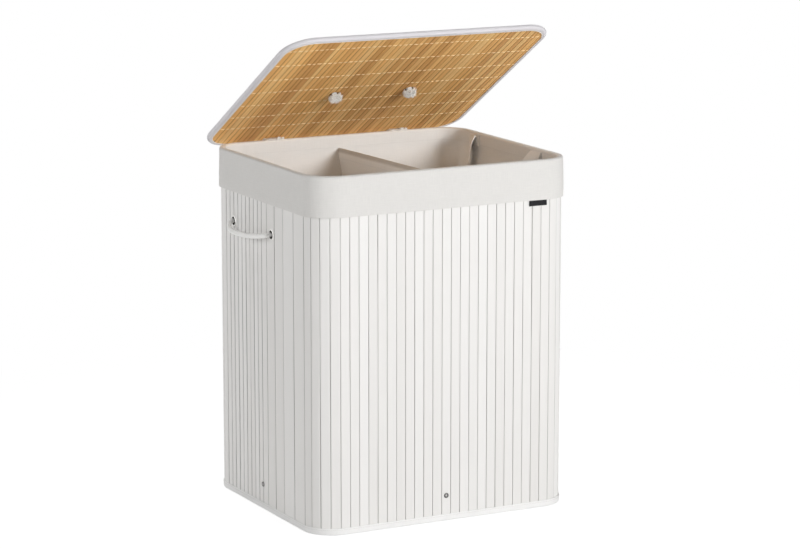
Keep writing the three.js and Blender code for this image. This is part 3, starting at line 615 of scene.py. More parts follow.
def add_sheet(builder, grid, thickness, us, vs, around=False, groove=None):
    """A cloth on a grid of points, rows by columns. us has one value per column, and one more where the
    columns go round. thickness and groove may have one value per row."""
    grid = np.asarray(grid, float)
    rows, columns = grid.shape[:2]
    across = np.roll(grid, -1, 1) - np.roll(grid, 1, 1) if around else np.gradient(grid, axis=1)
    normals = np.cross(np.gradient(grid, axis=0), across)
    normals /= np.maximum(np.linalg.norm(normals, axis=2, keepdims=True), 1e-12)
    half = np.broadcast_to(np.asarray(thickness, float) / 2, (rows,)).reshape(rows, 1, 1)
    points = np.concatenate([(grid + normals * half).reshape(-1, 3), (grid - normals * half).reshape(-1, 3)])
    bottom, last = rows - 1, columns if around else columns - 1
    faces, uvs = [], []

    def add_face(*corners, on_edge=False):
        """Corners are (row, column, side), where side is 0 in front and 1 behind."""
        faces.append([(side * rows + i) * columns + j % columns for i, j, side in corners])
        uvs.extend((us[j], vs[i]) for i, j, _ in (corners[:1] * 4 if on_edge else corners))

    for i in range(bottom):
        for j in range(last):
            add_face((i, j, 0), (i, j + 1, 0), (i + 1, j + 1, 0), (i + 1, j, 0))
            add_face((i, j, 1), (i + 1, j, 1), (i + 1, j + 1, 1), (i, j + 1, 1))
    for j in range(last):
        add_face((0, j, 0), (0, j, 1), (0, j + 1, 1), (0, j + 1, 0), on_edge=True)
    for j in range(last):
        add_face((bottom, j, 0), (bottom, j + 1, 0), (bottom, j + 1, 1), (bottom, j, 1), on_edge=True)
    for i in () if around else range(bottom):
        add_face((i, 0, 0), (i + 1, 0, 0), (i + 1, 0, 1), (i, 0, 1), on_edge=True)
    for i in () if around else range(bottom):
        add_face((i, last, 0), (i, last, 1), (i + 1, last, 1), (i + 1, last, 0), on_edge=True)
    shades = None if groove is None else [value for value in groove for _ in range(columns)] * 2
    return builder.add(points, faces, uvs, groove=shades)


def add_bar(builder, rings, tone=0.5, section_uv=None, ring_uv=None, groove=None, closed=False):
    """A bar through rings of equal length, or a ring of them. groove has one value per point of a ring."""
    rings = np.asarray(rings, float)
    count, size = rings.shape[:2]
    section_uv = range(size + 1) if section_uv is None else section_uv
    ring_uv = range(count + 1) if ring_uv is None else ring_uv
    faces, uvs = [], []
    for i in range(count if closed else count - 1):
        for j in range(size):
            corners = ((i, j), (i, j + 1), (i + 1, j + 1), (i + 1, j))
            faces.append([row % count * size + column % size for row, column in corners])
            uvs += [(section_uv[column], ring_uv[row]) for row, column in corners]
    if not closed:
        faces += [list(range(size))[::-1], list(range((count - 1) * size, count * size))]
        uvs += [(0.0, 0.0)] * (2 * size)
    shades = None if groove is None else list(groove) * count
    return builder.add(rings.reshape(-1, 3), faces, uvs, tone, shades)


def path_lengths(points):
    steps = np.linalg.norm(np.diff(np.asarray(points, float), axis=0), axis=1)
    return np.concatenate([[0.0], np.cumsum(steps)])


def evenly_spaced(points, step):
    points = np.asarray(points, float)
    along = path_lengths(points)
    wanted = np.linspace(0, along[-1], max(int(round(along[-1] / step)), 2) + 1)
    return np.stack([np.interp(wanted, along, points[:, axis]) for axis in range(points.shape[1])], axis=1)


def smooth_path(points, step):
    """A centripetal curve through the points, at an even spacing."""
    points = [np.asarray(p, float) for p in points]
    points = [2 * points[0] - points[1], *points, 2 * points[-1] - points[-2]]
    dense = []
    for window in zip(points, points[1:], points[2:], points[3:]):
        knots = [0.0]
        for here, there in zip(window, window[1:]):
            knots.append(knots[-1] + max(np.linalg.norm(there - here), 1e-9) ** 0.5)
        for t in np.linspace(knots[1], knots[2], 24, endpoint=False):
            level = window
            for spans in (((0, 1), (1, 2), (2, 3)), ((0, 2), (1, 3)), ((1, 2),)):
                ends = [(knots[low], knots[high]) for low, high in spans]
                level = [
                    (high - t) / (high - low) * a + (t - low) / (high - low) * b
                    for (low, high), a, b in zip(ends, level, level[1:])
                ]
            dense.append(level[0])
    dense.append(points[-2])
    return evenly_spaced(dense, step)


def frames_along(path):
    """Directions across a path, carried along it without twist."""
    tangents = np.gradient(path, axis=0)
    tangents /= np.linalg.norm(tangents, axis=1, keepdims=True)
    side = np.cross(tangents[0], (0.31, 0.17, 0.93))
    sides = []
    for tangent in tangents:
        side = side - tangent * side.dot(tangent)
        side = side / np.linalg.norm(side)
        sides.append(side)
    return np.array(sides), np.cross(tangents, sides)


def add_tube(builder, path, radii, sides=10, tone=0.5):
    path = np.asarray(path, float)
    first, second = frames_along(path)
    angles = np.linspace(0, 2 * math.pi, sides, endpoint=False)
    radii = np.broadcast_to(np.asarray(radii, float), (len(path),))
    rings = [
        p + r * (np.outer(np.cos(angles), a) + np.outer(np.sin(angles), b))
        for p, r, a, b in zip(path, radii, first, second)
    ]
    girth = 2 * math.pi * float(radii.max()) / sides
    return add_bar(builder, rings, tone, [girth * i for i in range(sides + 1)], path_lengths(path))


def add_rope(builder, path, radius=ROPE_RADIUS, lay=ROPE_LAY):
    """Three strands twisted round a core along a path, rounded off at both ends."""
    first, second = frames_along(path)
    along = path_lengths(path)
    from_end = np.minimum(along, along[-1] - along)
    rounded = np.sqrt(1 - (1 - np.clip(from_end / radius, 0.12, 1)) ** 2)
    strand = radius * 0.62
    add_tube(builder, path, radius * 0.88 * rounded, sides=16, tone=rng.random())
    for start in (0, 2 * math.pi / 3, 4 * math.pi / 3):
        turn = start + 2 * math.pi * along / lay
        across = first * np.cos(turn)[:, None] + second * np.sin(turn)[:, None]
        offset = (radius - strand) * rounded[:, None] * across
        add_tube(builder, path + offset, strand * rounded, sides=12, tone=rng.random())
    return builder


def turned_to(direction):
    return UP.rotation_difference(Vector(direction).normalized()).to_matrix()


def add_lathe(builder, profile, place, direction, segments=48, closed=False):
    """Turned about an axis: profile points are (radius, distance along the axis)."""
    turn = turned_to(direction)
    rings = [
        [
            tuple(Vector(place) + turn @ Vector((radius * math.cos(a), radius * math.sin(a), along)))
            for a in np.linspace(0, 2 * math.pi, segments, endpoint=False)
        ]
        for radius, along in profile
    ]
    no_uv = np.zeros(max(segments, len(profile)) + 1)
    return add_bar(builder, rings, section_uv=no_uv, ring_uv=no_uv, closed=closed)


# A stitch's rings: (place along it, fullness, rise)
STITCH_RINGS = ((-1.0, 0.30, 0.0), (-0.7, 0.85, 0.55), (0.0, 1.0, 1.0), (0.7, 0.85, 0.55), (1.0, 0.30, 0.0))


def add_stitch(builder, centre, along, outward, length, width=0.0006, lift=0.0002):
    """One raised stitch: a short rounded thread that arches out of the cloth."""
    along = np.asarray(along, float) / np.linalg.norm(along)
    outward = np.asarray(outward, float)
    side = np.cross(along, outward)
    rings = []
    for place, fullness, rise in STITCH_RINGS:
        middle = np.asarray(centre) + along * (place * length / 2) + outward * (lift * rise)
        rings.append([
            middle + (math.cos(angle) * side + math.sin(angle) * outward * 0.8) * (width / 2 * fullness)
            for angle in np.linspace(0, 2 * math.pi, 6, endpoint=False)
        ])
    add_bar(builder, rings, tone=rng.random())


class Outline:
    """A rounded rectangle, walked anticlockwise from the middle of its front."""

    def __init__(self, width, depth, radius, centre):
        self.half = (width / 2, depth / 2)
        self.radius = radius
        self.centre = np.array(centre, float)
        self.flat = (width / 2 - radius, depth / 2 - radius)
        self.arc = radius * math.pi / 2
        self.quarter = self.flat[0] + self.arc + self.flat[1]
        self.length = 4 * self.quarter

    def at(self, distance):
        """The point and the outward normal at a distance along the outline."""
        distance %= self.length
        quarter = int(distance // self.quarter)
        rest = distance - quarter * self.quarter
        first = quarter % 2
        flat, half_here, half_across = self.flat[first], self.half[first], self.half[1 - first]
        if rest <= flat:
            point, normal = (rest, -half_across), (0.0, -1.0)
        elif rest <= flat + self.arc:
            angle = (rest - flat) / self.radius
            normal = (math.sin(angle), -math.cos(angle))
            point = (flat + self.radius * normal[0], self.radius - half_across + self.radius * normal[1])
        else:
            beyond = rest - flat - self.arc
            point, normal = (half_here, self.radius - half_across + beyond), (1.0, 0.0)
        for _ in range(quarter):
            point, normal = (-point[1], point[0]), (-normal[1], normal[0])
        return np.array(point) + self.centre, np.array(normal)

    def stations(self, count):
        distances = np.linspace(0, self.length, count + 1)
        points, normals = zip(*(self.at(d) for d in distances[:-1]))
        return distances, np.array(points), np.array(normals)


BODY = Outline(BODY_WIDTH, BODY_DEPTH, CORNER_RADIUS, (0, CENTRE_Y))
LID = Outline(LID_WIDTH, LID_DEPTH, LID_RADIUS, (LID_SHIFT[0], LID_SHIFT[1] - HINGE_Y))


def lid_height(height):
    """A height above the closed lid's underside, in the lid's own frame."""
    return LID_BOTTOM - HINGE_Z + height


def add_band_round(builder, outline, section, thickness, count, shape=None, groove=None):
    """A cloth round an outline. The section is rows of (outward, height). shape(point, row) gives how far
    a point moves outwards and up."""
    distances, points, normals = outline.stations(count)
    grid = np.zeros((len(section), count, 3))
    for i, (outward, height) in enumerate(section):
        for j in range(count):
            base = points[j] + normals[j] * outward
            push, rise = shape((base[0], base[1], height), i) if shape else (0.0, 0.0)
            grid[i, j] = (*(base + normals[j] * push), height + rise)
    return add_sheet(builder, grid, thickness, distances, path_lengths(section), around=True, groove=groove)


def add_stitches_round(builder, outline, outward, height, face, pitch, length, width=0.0006, lift=0.0004):
    """Stitches round an outline. face is the outward direction: (out of the outline, up)."""
    count = int(outline.length / pitch)
    for i in range(count):
        distance = i * outline.length / count
        point, normal = outline.at(distance)
        ahead, _ = outline.at(distance + 0.001)
        along = np.array((*(ahead - point), 0.0))
        out = np.array((normal[0] * face[0], normal[1] * face[0], face[1]))
        centre = np.array((*(point + normal * outward), height + jitter(0.00012)))
        add_stitch(builder, centre, along, out, length * rng.uniform(0.92, 1.06), width, lift)
    return builder


def slat_section(width, thickness, crown=0.00012, radius=0.0007):
    """Section of a slat as (across, outward): flat back, eased edges and a slightly crowned face."""
    half = width / 2
    side = [(half, -thickness), (half, -radius), (half - radius * 0.28, -radius * 0.28), (half - radius, 0.0)]
    left = [(-across, outward) for across, outward in side]
    return [*left, (-half * 0.5, crown * 0.8), (0.0, crown), (half * 0.5, crown * 0.8), *side[::-1]]


def add_slat_bar(builder, rings, tone, section, along, painted_side_shade):
    """A slat through its rings: painted shade down its sides, none on its face."""
    across = [point[0] for point in section] + [section[0][0]]
    side = [painted_side_shade, painted_side_shade, painted_side_shade * 0.45, 0.0]
    add_bar(builder, rings, tone, across, along, [*side, 0.0, 0.0, 0.0, *side[::-1]])


def add_slat(builder, middle, along, out, width, painted_side_shade, rings=14):
    """An upright slat of the wall, not quite flat, straight or flush."""
    section = slat_section(width, SLAT_THICKNESS)
    tilt = jitter(SLAT_TILT)
    depth = rng.uniform(-1, 0.3) * SLAT_SET_BACK
    bow, sway = jitter(SLAT_BOW), jitter(SLAT_SWAY)
    phase = rng.uniform(0, 6)
    shares = [k / rings for k in range(rings + 1)]
    heights = [SLAT_BOTTOM + (SLAT_TOP - SLAT_BOTTOM) * share for share in shares]
    shape = []
    for share, height in zip(shares, heights):
        wave = math.sin(share * 7 + phase)
        ring = []
        for across, outward in section:
            push = outward + depth + bow * wave + tilt * across
            ring.append((*(middle + along * (across + sway * wave) + out * push), height))
        shape.append(ring)
    add_slat_bar(builder, shape, rng.random(), section, heights, painted_side_shade)


def side_edges():
    """Edges of the right side's slats, as distances along the outline, from the front corner to the back."""
    widths = [*SIDE_WIDE_WIDTHS, *[SIDE_NARROW_WIDTH] * SIDE_NARROW_SLATS]
    return list(BODY.quarter - SIDE_FRONT_REACH + np.cumsum([0.0, *widths]))


def slat_mat(name, edges, groove, painted_side_shade):
    builder = Builder()
    for start, end in zip(edges, edges[1:]):
        first, second = BODY.at(start)[0], BODY.at(end)[0]
        chord = second - first
        along = chord / np.linalg.norm(chord)
        out = np.array((along[1], -along[0]))
        width = np.linalg.norm(chord) - groove + jitter(0.00012)
        middle = (first + second) / 2 + along * jitter(0.00006)
        add_slat(builder, middle, along, out, width, painted_side_shade)
    return builder.piece(name + "_slats", PAINTED_BAMBOO, "painted_bamboo", name)


def cut_holes(piece, places, direction, radius, depth=0.03):
    """Round holes through a piece, by boolean, applied."""
    builder = Builder()
    for place in places:
        add_lathe(builder, [(radius, -depth), (radius, depth)], place, direction, segments=40)
    mesh = builder.mesh("hole_cutter")
    face_outwards(mesh)
    cutter = linked("hole_cutter", mesh)
    cutter.matrix_world = piece.matrix_world.copy()
    modifier = piece.modifiers.new("holes", "BOOLEAN")
    modifier.operation = "DIFFERENCE"
    modifier.solver = "EXACT"
    modifier.object = cutter
    bpy.context.view_layer.update()
    evaluated = piece.evaluated_get(bpy.context.evaluated_depsgraph_get())
    cut = bpy.data.meshes.new_from_object(evaluated)
    piece.modifiers.clear()
    piece.data = cut
    bpy.data.objects.remove(cutter)


def cut_eyelet_holes(piece):
    places = [(0, y + CENTRE_Y, EYELET_HEIGHT) for _, y in EYELET_ENDS]
    cut_holes(piece, places, (1, 0, 0), EYELET_HOLE, depth=1.0)


def slatted_wall():
    half_way = BODY.length / 2
    front = FRONT_SLATS * FRONT_PITCH / 2
    back = half_way - front
    right = side_edges()
    left = [BODY.length - edge for edge in right][::-1]
    for wall, middle in (("front", 0.0), ("back", half_way)):
        edges = np.linspace(middle - front, middle + front, FRONT_SLATS + 1)
        slat_mat(f"{wall}_slat_mat", edges, FRONT_GROOVE, FRONT_PAINTED_SHADE)
    sides = [
        slat_mat(f"{side}_slat_mat", edges, SIDE_GROOVE, SIDE_PAINTED_SHADE)
        for side, edges in (("right", right), ("left", left))
    ]
    for piece in sides[::-1]:
        cut_eyelet_holes(piece)
    corners = (
        ("front_right", front, right[0], FRONT_CORNER_SLATS),
        ("back_right", right[-1], back, BACK_CORNER_SLATS),
        ("back_left", BODY.length - back, BODY.length - right[-1], BACK_CORNER_SLATS),
        ("front_left", BODY.length - right[0], BODY.length - front, FRONT_CORNER_SLATS),
    )
    for corner, start, end, count in corners:
        slat_mat(f"{corner}_corner_slats", np.linspace(start, end, count + 1), CORNER_GROOVE, CORNER_PAINTED_SHADE)


def backing_cloth():
    section = [(BACKING_OUT, height) for height in np.linspace(SLAT_BOTTOM + 0.001, SLAT_TOP - 0.001, 24)]
    builder = add_band_round(Builder(), BODY, section, CLOTH, BACKING_POINTS)
    piece = builder.piece("backing_cloth_weave", LINER_CLOTH, "liner_fabric", "backing_cloth")
    cut_eyelet_holes(piece)


def edge_binding(edge, line):
    def pucker(point, row):
        return ripples(point, BINDING_PUCKER), 0.0

    tape = add_band_round(Builder(), BODY, line, BINDING_THICKNESS, BAND_POINTS, pucker)
    tape.piece(f"{edge}_binding_tape", BINDING_TAPE, "binding_fabric", f"{edge}_edge_binding")


def edge_bindings():
    """Tapes folded over the wall's foot, with a row of stitches, and over its rim, under the cuff."""
    edge_binding("bottom", BOTTOM_BINDING_LINE)
    thread = add_stitches_round(
        Builder(), BODY, BINDING_STITCHES_OUT, BINDING_STITCHES_HEIGHT, (1, 0), pitch=0.0034, length=0.0026,
    )
    thread.piece("bottom_binding_tape_stitches", WHITE_THREAD, "binding_fabric")
    edge_binding("top", TOP_BINDING_LINE)


def rivet_places():
    half_width, half_depth = BODY_WIDTH / 2, BODY_DEPTH / 2
    return (
        ("front", (0, CENTRE_Y - half_depth, RIVET_HEIGHT), (0, -1, 0)),
        ("back", (0, CENTRE_Y + half_depth, RIVET_HEIGHT), (0, 1, 0)),
        ("left", (-half_width, SIDE_RIVET_Y, RIVET_HEIGHT), (-1, 0, 0)),
        ("right", (half_width, SIDE_RIVET_Y, RIVET_HEIGHT), (1, 0, 0)),
    )


def base_tabs_and_rivets():
    line = smooth_path([(outward, 0, z) for outward, z in TAB_LINE], 0.003)
    widths = np.linspace(-TAB_WIDTH / 2, TAB_WIDTH / 2, 14)
    for name, place, direction in rivet_places():
        rivet = add_lathe(Builder(), RIVET_PROFILE, place, direction)
        rivet.piece(f"{name}_tubular_rivet", RIVET_STEEL, "nickel", f"{name}_rivet", sharp=60)
        tube = add_lathe(Builder(), RIVET_TUBE_PROFILE, place, direction, segments=24)
        tube.piece(f"{name}_rivet_tube", RIVET_TUBE, "nickel", sharp=60)
        out = np.array(direction, float)
        across = np.cross((0, 0, 1), out)
        grid = [
            [np.array(place) * (1, 1, 0) + out * outward + across * w + np.array((0, 0, z)) for w in widths]
            for outward, _, z in line
        ]
        tab = add_sheet(Builder(), grid, BINDING_THICKNESS, widths, path_lengths(line))
        tab.piece(f"{name}_tab_webbing", WEBBING, "webbing", f"{name}_base_tab")


def add_overhand_knot(builder, centre, axis, size, rope):
    """A tight knot: a short rope that winds through itself, drawn in along the axis."""
    turn = turned_to(axis)
    path = []
    for t in np.linspace(0, 2 * math.pi, 120, endpoint=False):
        reach = 2 + math.cos(3 * t)
        local = Vector((reach * math.cos(2 * t), reach * math.sin(2 * t), 1.15 * math.sin(3 * t))) * size
        path.append(tuple(Vector(centre) + turn @ local))
    add_rope(builder, evenly_spaced([*path, path[0]], 0.0012), radius=rope, lay=0.02)


def add_fray(builder, root, axis, count, length, spread, root_radius, thickness):
    """Loose yarn ends that fan out from a cut rope, up to the given angle from the axis."""
    turn = turned_to(axis)
    for _ in range(count):
        angle = rng.uniform(0, 2 * math.pi)
        lean = spread * math.sqrt(rng.uniform(0.02, 1.0))
        reach = length * rng.uniform(0.6, 1.0)
        start = root_radius * math.sqrt(rng.random())
        droop, curl = rng.uniform(-0.5, 0.5), rng.uniform(-0.3, 0.3)
        path = []
        for share in np.linspace(0, 1, 6):
            tilt = lean * (0.55 + 0.45 * share) + curl * share * share
            swing = angle + droop * share * share
            out = start + reach * share * math.sin(tilt)
            local = Vector((out * math.cos(swing), out * math.sin(swing), reach * share * math.cos(tilt)))
            path.append(tuple(Vector(root) + turn @ local))
        add_tube(builder, path, np.linspace(thickness, thickness * 0.35, 6), sides=5, tone=rng.random())


def handle_rope(name, route, body, replaced):
    path = smooth_path(route, ROPE_STEP)
    piece = add_rope(Builder(), path).piece(name, COTTON, "cotton_rope", replaced, body)


def side_handles():
    front_y = EYELET_ENDS[1][1] + CENTRE_Y
    for side, sign in SIDES:
        start_x = sign * (BODY_WIDTH / 2 + HANDLE_AXIS)
        route = [
            (start_x + sign * outward, front_y + along, EYELET_HEIGHT + up)
            for along, outward, up in HANDLE_ROUTE
        ]
        handle_rope(f"{side}_handle_rope", route, f"{side}_handle", f"{side}_rope_handle")


def eyelets_and_side_knots():
    """Each eyelet with the rope's stub through it, which ends in a frayed knot inside the wall."""
    for side, sign in SIDES:
        for end, y in EYELET_ENDS:
            name = f"{side}_{end}"
            place = (sign * BODY_WIDTH / 2, y + CENTRE_Y, EYELET_HEIGHT)
            out = Vector((sign, 0, 0))
            ring = add_lathe(Builder(), EYELET_PROFILE, place, out, segments=64, closed=True)
            ring.piece(f"{name}_eyelet_ring", NICKEL, "nickel", f"{name}_eyelet", sharp=60)
            # Painted shade: a near-black ring in the hole round the rope
            hole_shade = add_lathe(Builder(), EYELET_HOLE_SHADE, place, out, closed=True)
            hole_shade.piece(f"{name}_eyelet_barrel", PAINTED_HOLE_SHADE, "nickel", sharp=60)
            to_rope = 0.0016 if end == "front" else 0.0002
            steps = ((HANDLE_AXIS + 0.0022, to_rope), (0.0030, STUB_REARWARD), (-0.0105, STUB_REARWARD))
            stub = [Vector(place) + out * distance + Vector((0, back, 0)) for distance, back in steps]
            knot = add_rope(Builder(), smooth_path(stub, 0.0010), radius=STUB_RADIUS)
            add_overhand_knot(knot, Vector(place) - out * SIDE_KNOT_DEPTH, -out, **SIDE_KNOT)
            add_fray(knot, Vector(place) - out * SIDE_FRAY_DEPTH, -out, **SIDE_FRAY)
            knot.piece(f"{name}_knot", COTTON, "cotton_rope", f"{name}_rope_knot")


def cuff_section():
    """Rows of (outward, height) from the inside seam, over the rim and down the outside."""
    middle = (CUFF_OUT + CUFF_IN) / 2
    half = (CUFF_OUT - CUFF_IN) / 2
    rise = RIM_HEIGHT - CLOTH / 2 - FOLD_CENTRE
    rows = [(CUFF_IN, h) for h in np.linspace(CUFF_SEAM, FOLD_CENTRE, 7)[:-1]]
    for angle in np.linspace(math.pi, 0, 17):
        across = math.copysign(abs(math.cos(angle)) ** 0.72, math.cos(angle))
        rows.append((middle + half * across, FOLD_CENTRE + rise * math.sin(angle) ** 0.72))
    return rows + [(CUFF_OUT, h) for h in np.linspace(FOLD_CENTRE, CUFF_BOTTOM, 30)[1:]]


def cuff_drape(point, row):
    """How far the cuff stands out and rises: free at its hem, drawn in at its stitches and at the front
    right corner."""
    if row <= FOLD_ROW:
        return 0.0002 * ripple(point, 40, 5), 0.0003 * ripple(point, 12, 2)
    x, y, z = point
    free = float(smoothstep(FOLD_CENTRE, CUFF_BOTTOM, z))
    push = free * ripples(point, CUFF_SWELL)
    push += 0.00022 * ripple(point, 60, 6) + CUFF_FLARE * free
    push -= CUFF_STITCH_DEPTH * math.exp(-((z - CUFF_STITCHES) / CUFF_STITCH_REACH) ** 2)
    at_corner = min(1.0, max(0.0, (x - 0.19) / 0.06)) * float(y < -0.16)
    push -= CUFF_CORNER_PULL * at_corner * float(smoothstep(CUFF_BOTTOM + 0.02, CUFF_BOTTOM, z))
    return max(push, -CUFF_DRAWN_IN), free * free * 0.0009 * ripple(point, 9, 7)


def liner_cuff():
    section = cuff_section()
    hem_top = CUFF_BOTTOM + CUFF_HEM
    in_hem = [
        float(smoothstep(hem_top + 0.0015, hem_top, height)) if row > FOLD_ROW else 0.0
        for row, (_, height) in enumerate(section)
    ]
    # The cuff's inside gets the liner's paler colour: painted light
    painted_light_inside = smoothstep(FOLD_ROW + 4, FOLD_ROW - 2, np.arange(len(section)))
    thickness = [CLOTH + 0.0007 * hem for hem in in_hem]
    count = HEMMED_BAND_POINTS
    builder = add_band_round(Builder(), BODY, section, thickness, count, cuff_drape, painted_light_inside)
    piece = builder.piece("liner_cuff_cloth", LINER_CLOTH, "liner_fabric", "liner_cuff")
    thread = Builder()
    for outward, height, face in (
        (CUFF_OUT + 0.0009, CUFF_STITCHES, (1, 0)),
        (CUFF_IN - 0.0006, CUFF_SEAM + 0.0028, (-1, 0)),
    ):
        add_stitches_round(thread, BODY, outward, height, face, pitch=0.0036, length=0.0027, lift=0.0002)
    thread.piece("liner_cuff_stitches", WHITE_THREAD, "liner_fabric")


def bag_offset(height):
    """How far in from the slats' outer faces the bag hangs at a height."""
    leave = float(smoothstep(BAG_TOP, BAG_FREE_BELOW, height))
    foot = float(smoothstep(BAG_FOOT_TOP, BAG_FLOOR, height))
    return BAG_TOP_INSET + (BAG_INSET - BAG_TOP_INSET) * leave - BAG_FOOT_INSET * foot


def bag_push(point):
    """Soft upright folds, which the divider's seams hold flat."""
    slack = BAG_LEAST_SLACK + BAG_SLACK * float(smoothstep(0.60, 0.40, point[2]))
    folds = ripples((point[0], point[1], point[2] * 0.28), BAG_FOLDS)
    near_divider = math.exp(-(point[0] / SEAM_REACH) ** 2)
    return (slack * folds + ripples(point, BAG_CREASES)) * (1 - near_divider) - 0.15 * slack


def liner_bag():
    distances, points, normals = BODY.stations(BAND_POINTS)
    spans = ((BAG_TOP, 0.54, 22), (0.53, 0.05, 30), (BAG_FOOT_TOP, BAG_FLOOR, 9))
    heights = np.concatenate([np.linspace(*span) for span in spans])
    rows = []
    for height in heights:
        row = []
        for point, normal in zip(points, normals):
            base = point + normal * bag_offset(height)
            base = base + normal * bag_push((*base, height))
            row.append((*base, height))
        rows.append(row)
    rim = np.array(rows[-1])
    centre = np.array((0, CENTRE_Y, BAG_FLOOR))
    for share in FLOOR_RINGS:
        row = centre + (rim - centre) * share
        for place in row:
            place[2] = BAG_FLOOR + 0.0012 * max(0.0, ripple(place, 14, 23)) * (1 - share) * 4 * share
        rows.append(row)
    grid = np.array(rows)
    lengths = path_lengths(grid[:, 0])
    # The whole bag gets the liner's paler colour: painted light
    painted_light_everywhere = [1.0] * len(rows)
    builder = add_sheet(Builder(), grid, BAG_THICKNESS, distances, lengths, around=True, groove=painted_light_everywhere)
    piece = builder.piece("liner_bag_cloth", LINER_CLOTH, "liner_fabric", "liner_bag")


def divider_offset(y, height, reach):
    """How far the divider stands out of its plane."""
    share = (y - CENTRE_Y) / reach
    loose = (1 - share * share) * float(smoothstep(BAG_FLOOR, 0.20, height))
    bulge = loose * (DIVIDER_BULGE + 0.0012 * ripple((0, y, height * 0.4), 16, 29)) + DIVIDER_SHIFT
    return bulge + 0.0003 * ripple((0, y, height), 45, 31)


def divider_sag(y, reach):
    """How far the top hangs below its middle height: it is sewn higher at the front than at the back."""
    share = (y - CENTRE_Y) / reach
    return DIVIDER_SAG * (1 - share * share) + HEM_TILT * share


def divider_reach(height):
    return BODY_DEPTH / 2 + bag_offset(height) - DIVIDER_SIDE_GAP


def divider_panel():
    heights = [*np.linspace(BAG_FLOOR + 0.001, 0.53, 26), *np.linspace(0.54, DIVIDER_TOP, 20)]
    grid = []
    for height in heights:
        reach = divider_reach(height)
        ys = [CENTRE_Y + share * reach for share in np.linspace(-1, 1, 70)]
        grid.append([
            (divider_offset(y, height, reach), y, height - divider_sag(y, reach) * height / HEM_TOP)
            for y in ys
        ])
    builder = add_sheet(Builder(), grid, DIVIDER_THICKNESS, np.array(grid)[-1, :, 1], heights)
    return builder.piece("divider_cloth", DIVIDER_CLOTH, "liner_fabric", "liner_divider")


def divider_hem(reach):
    """The hem folded over the divider's top."""
    shares = np.linspace(-1, 1, 90)
    half = HEM_WIDTH / 2 - HEM_THICKNESS / 2
    fold = HEM_TOP - HEM_THICKNESS / 2 - half
    side = [(0.0011, HEM_BOTTOM), (0.0014, HEM_BOTTOM + 0.005)]
    side += [(half, height) for height in (0.6205, HEM_SHADE_FROM, fold)]
    arch = [(half * math.cos(a), fold + half * math.sin(a)) for a in np.linspace(0.3, math.pi - 0.3, 9)]
    section = [*side, *arch, *[(-across, height) for across, height in side[::-1]]]
    grid = []
    for across, height in section:
        row = []
        for share in shares:
            y = CENTRE_Y + share * reach
            pucker = 0.00025 * ripple((across, y, height), 120, 37)
            x = across + divider_offset(y, height, reach) + pucker
            row.append((x, y, height - divider_sag(y, reach)))
        grid.append(row)
    # Rows above this height get the painted shade along the hem's top
    line = [float(height > HEM_SHADE_FROM - 0.0001) for _, height in section]
    widths = np.linspace(-reach, reach, len(shares))
    hem = add_sheet(Builder(), grid, HEM_THICKNESS, widths, path_lengths(section), groove=line)
    return hem.piece("divider_hem_cloth", HEM_CLOTH, "liner_fabric", "divider_hem")


def divider():
    reach = divider_reach(HEM_REACH_HEIGHT)
    panel = divider_panel()
    hem_piece = divider_hem(reach)
    thread = Builder()
    for sign in (-1, 1):
        for y in np.arange(CENTRE_Y - reach + 0.004, CENTRE_Y + reach - 0.003, 0.0034):
            x = sign * 0.0017 + divider_offset(y, HEM_STITCHES, reach)
            add_stitch(thread, (x, y, HEM_STITCHES - divider_sag(y, reach)), (0, 1, 0), (sign, 0, 0), 0.0026)
    thread.piece("divider_stitches", WHITE_THREAD, "liner_fabric")


def strap_sheet(path, acrosses, thickness):
    """A flat strap on a path, with its width along the given directions. thickness is one value per row."""
    places = np.linspace(-STRAP_WIDTH / 2, STRAP_WIDTH / 2, 9)
    grid = []
    for i, point in enumerate(path):
        tangent = path[min(i + 1, len(path) - 1)] - path[max(i - 1, 0)]
        tangent = tangent / np.linalg.norm(tangent)
        side = acrosses[i] - tangent * acrosses[i].dot(tangent)
        side = side / np.linalg.norm(side)
        face = np.cross(tangent, side)
        row = []
        for w in places:
            cup = STRAP_CUP * (2 * w / STRAP_WIDTH) ** 2
            place = point + side * w
            row.append(place + face * (cup + 0.00025 * ripple(place, 60, 41)))
        grid.append(row)
    return add_sheet(Builder(), grid, thickness, places, path_lengths(path))


def carry_straps():
    for side, sign in SIDES:
        route = [(sign * (STRAP_AXIS_X + inward), y + CENTRE_Y, z) for inward, y, z, _ in STRAP_ROUTE]
        path = smooth_path(route, 0.003)
        lengths = path_lengths(path)
        knots = path_lengths(route)
        twists = np.interp(lengths / lengths[-1], knots / knots[-1], [t for *_, t in STRAP_ROUTE])
        acrosses = [np.array((sign * math.sin(t), math.cos(t), 0.0)) for t in twists]
        folded = smoothstep(0.034, 0.028, np.minimum(lengths, lengths[-1] - lengths))
        builder = strap_sheet(path, acrosses, STRAP_THICKNESS - 0.0003 + 0.0010 * folded)
        strap = builder.piece(f"{side}_strap_webbing", WEBBING, "webbing", f"{side}_carry_strap", body=None)
        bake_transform(strap)
        strap_tab(side, sign, "front", STRAP_ROUTE[0][1] + CENTRE_Y)
        strap_tab(side, sign, "back", STRAP_ROUTE[-1][1] + CENTRE_Y)


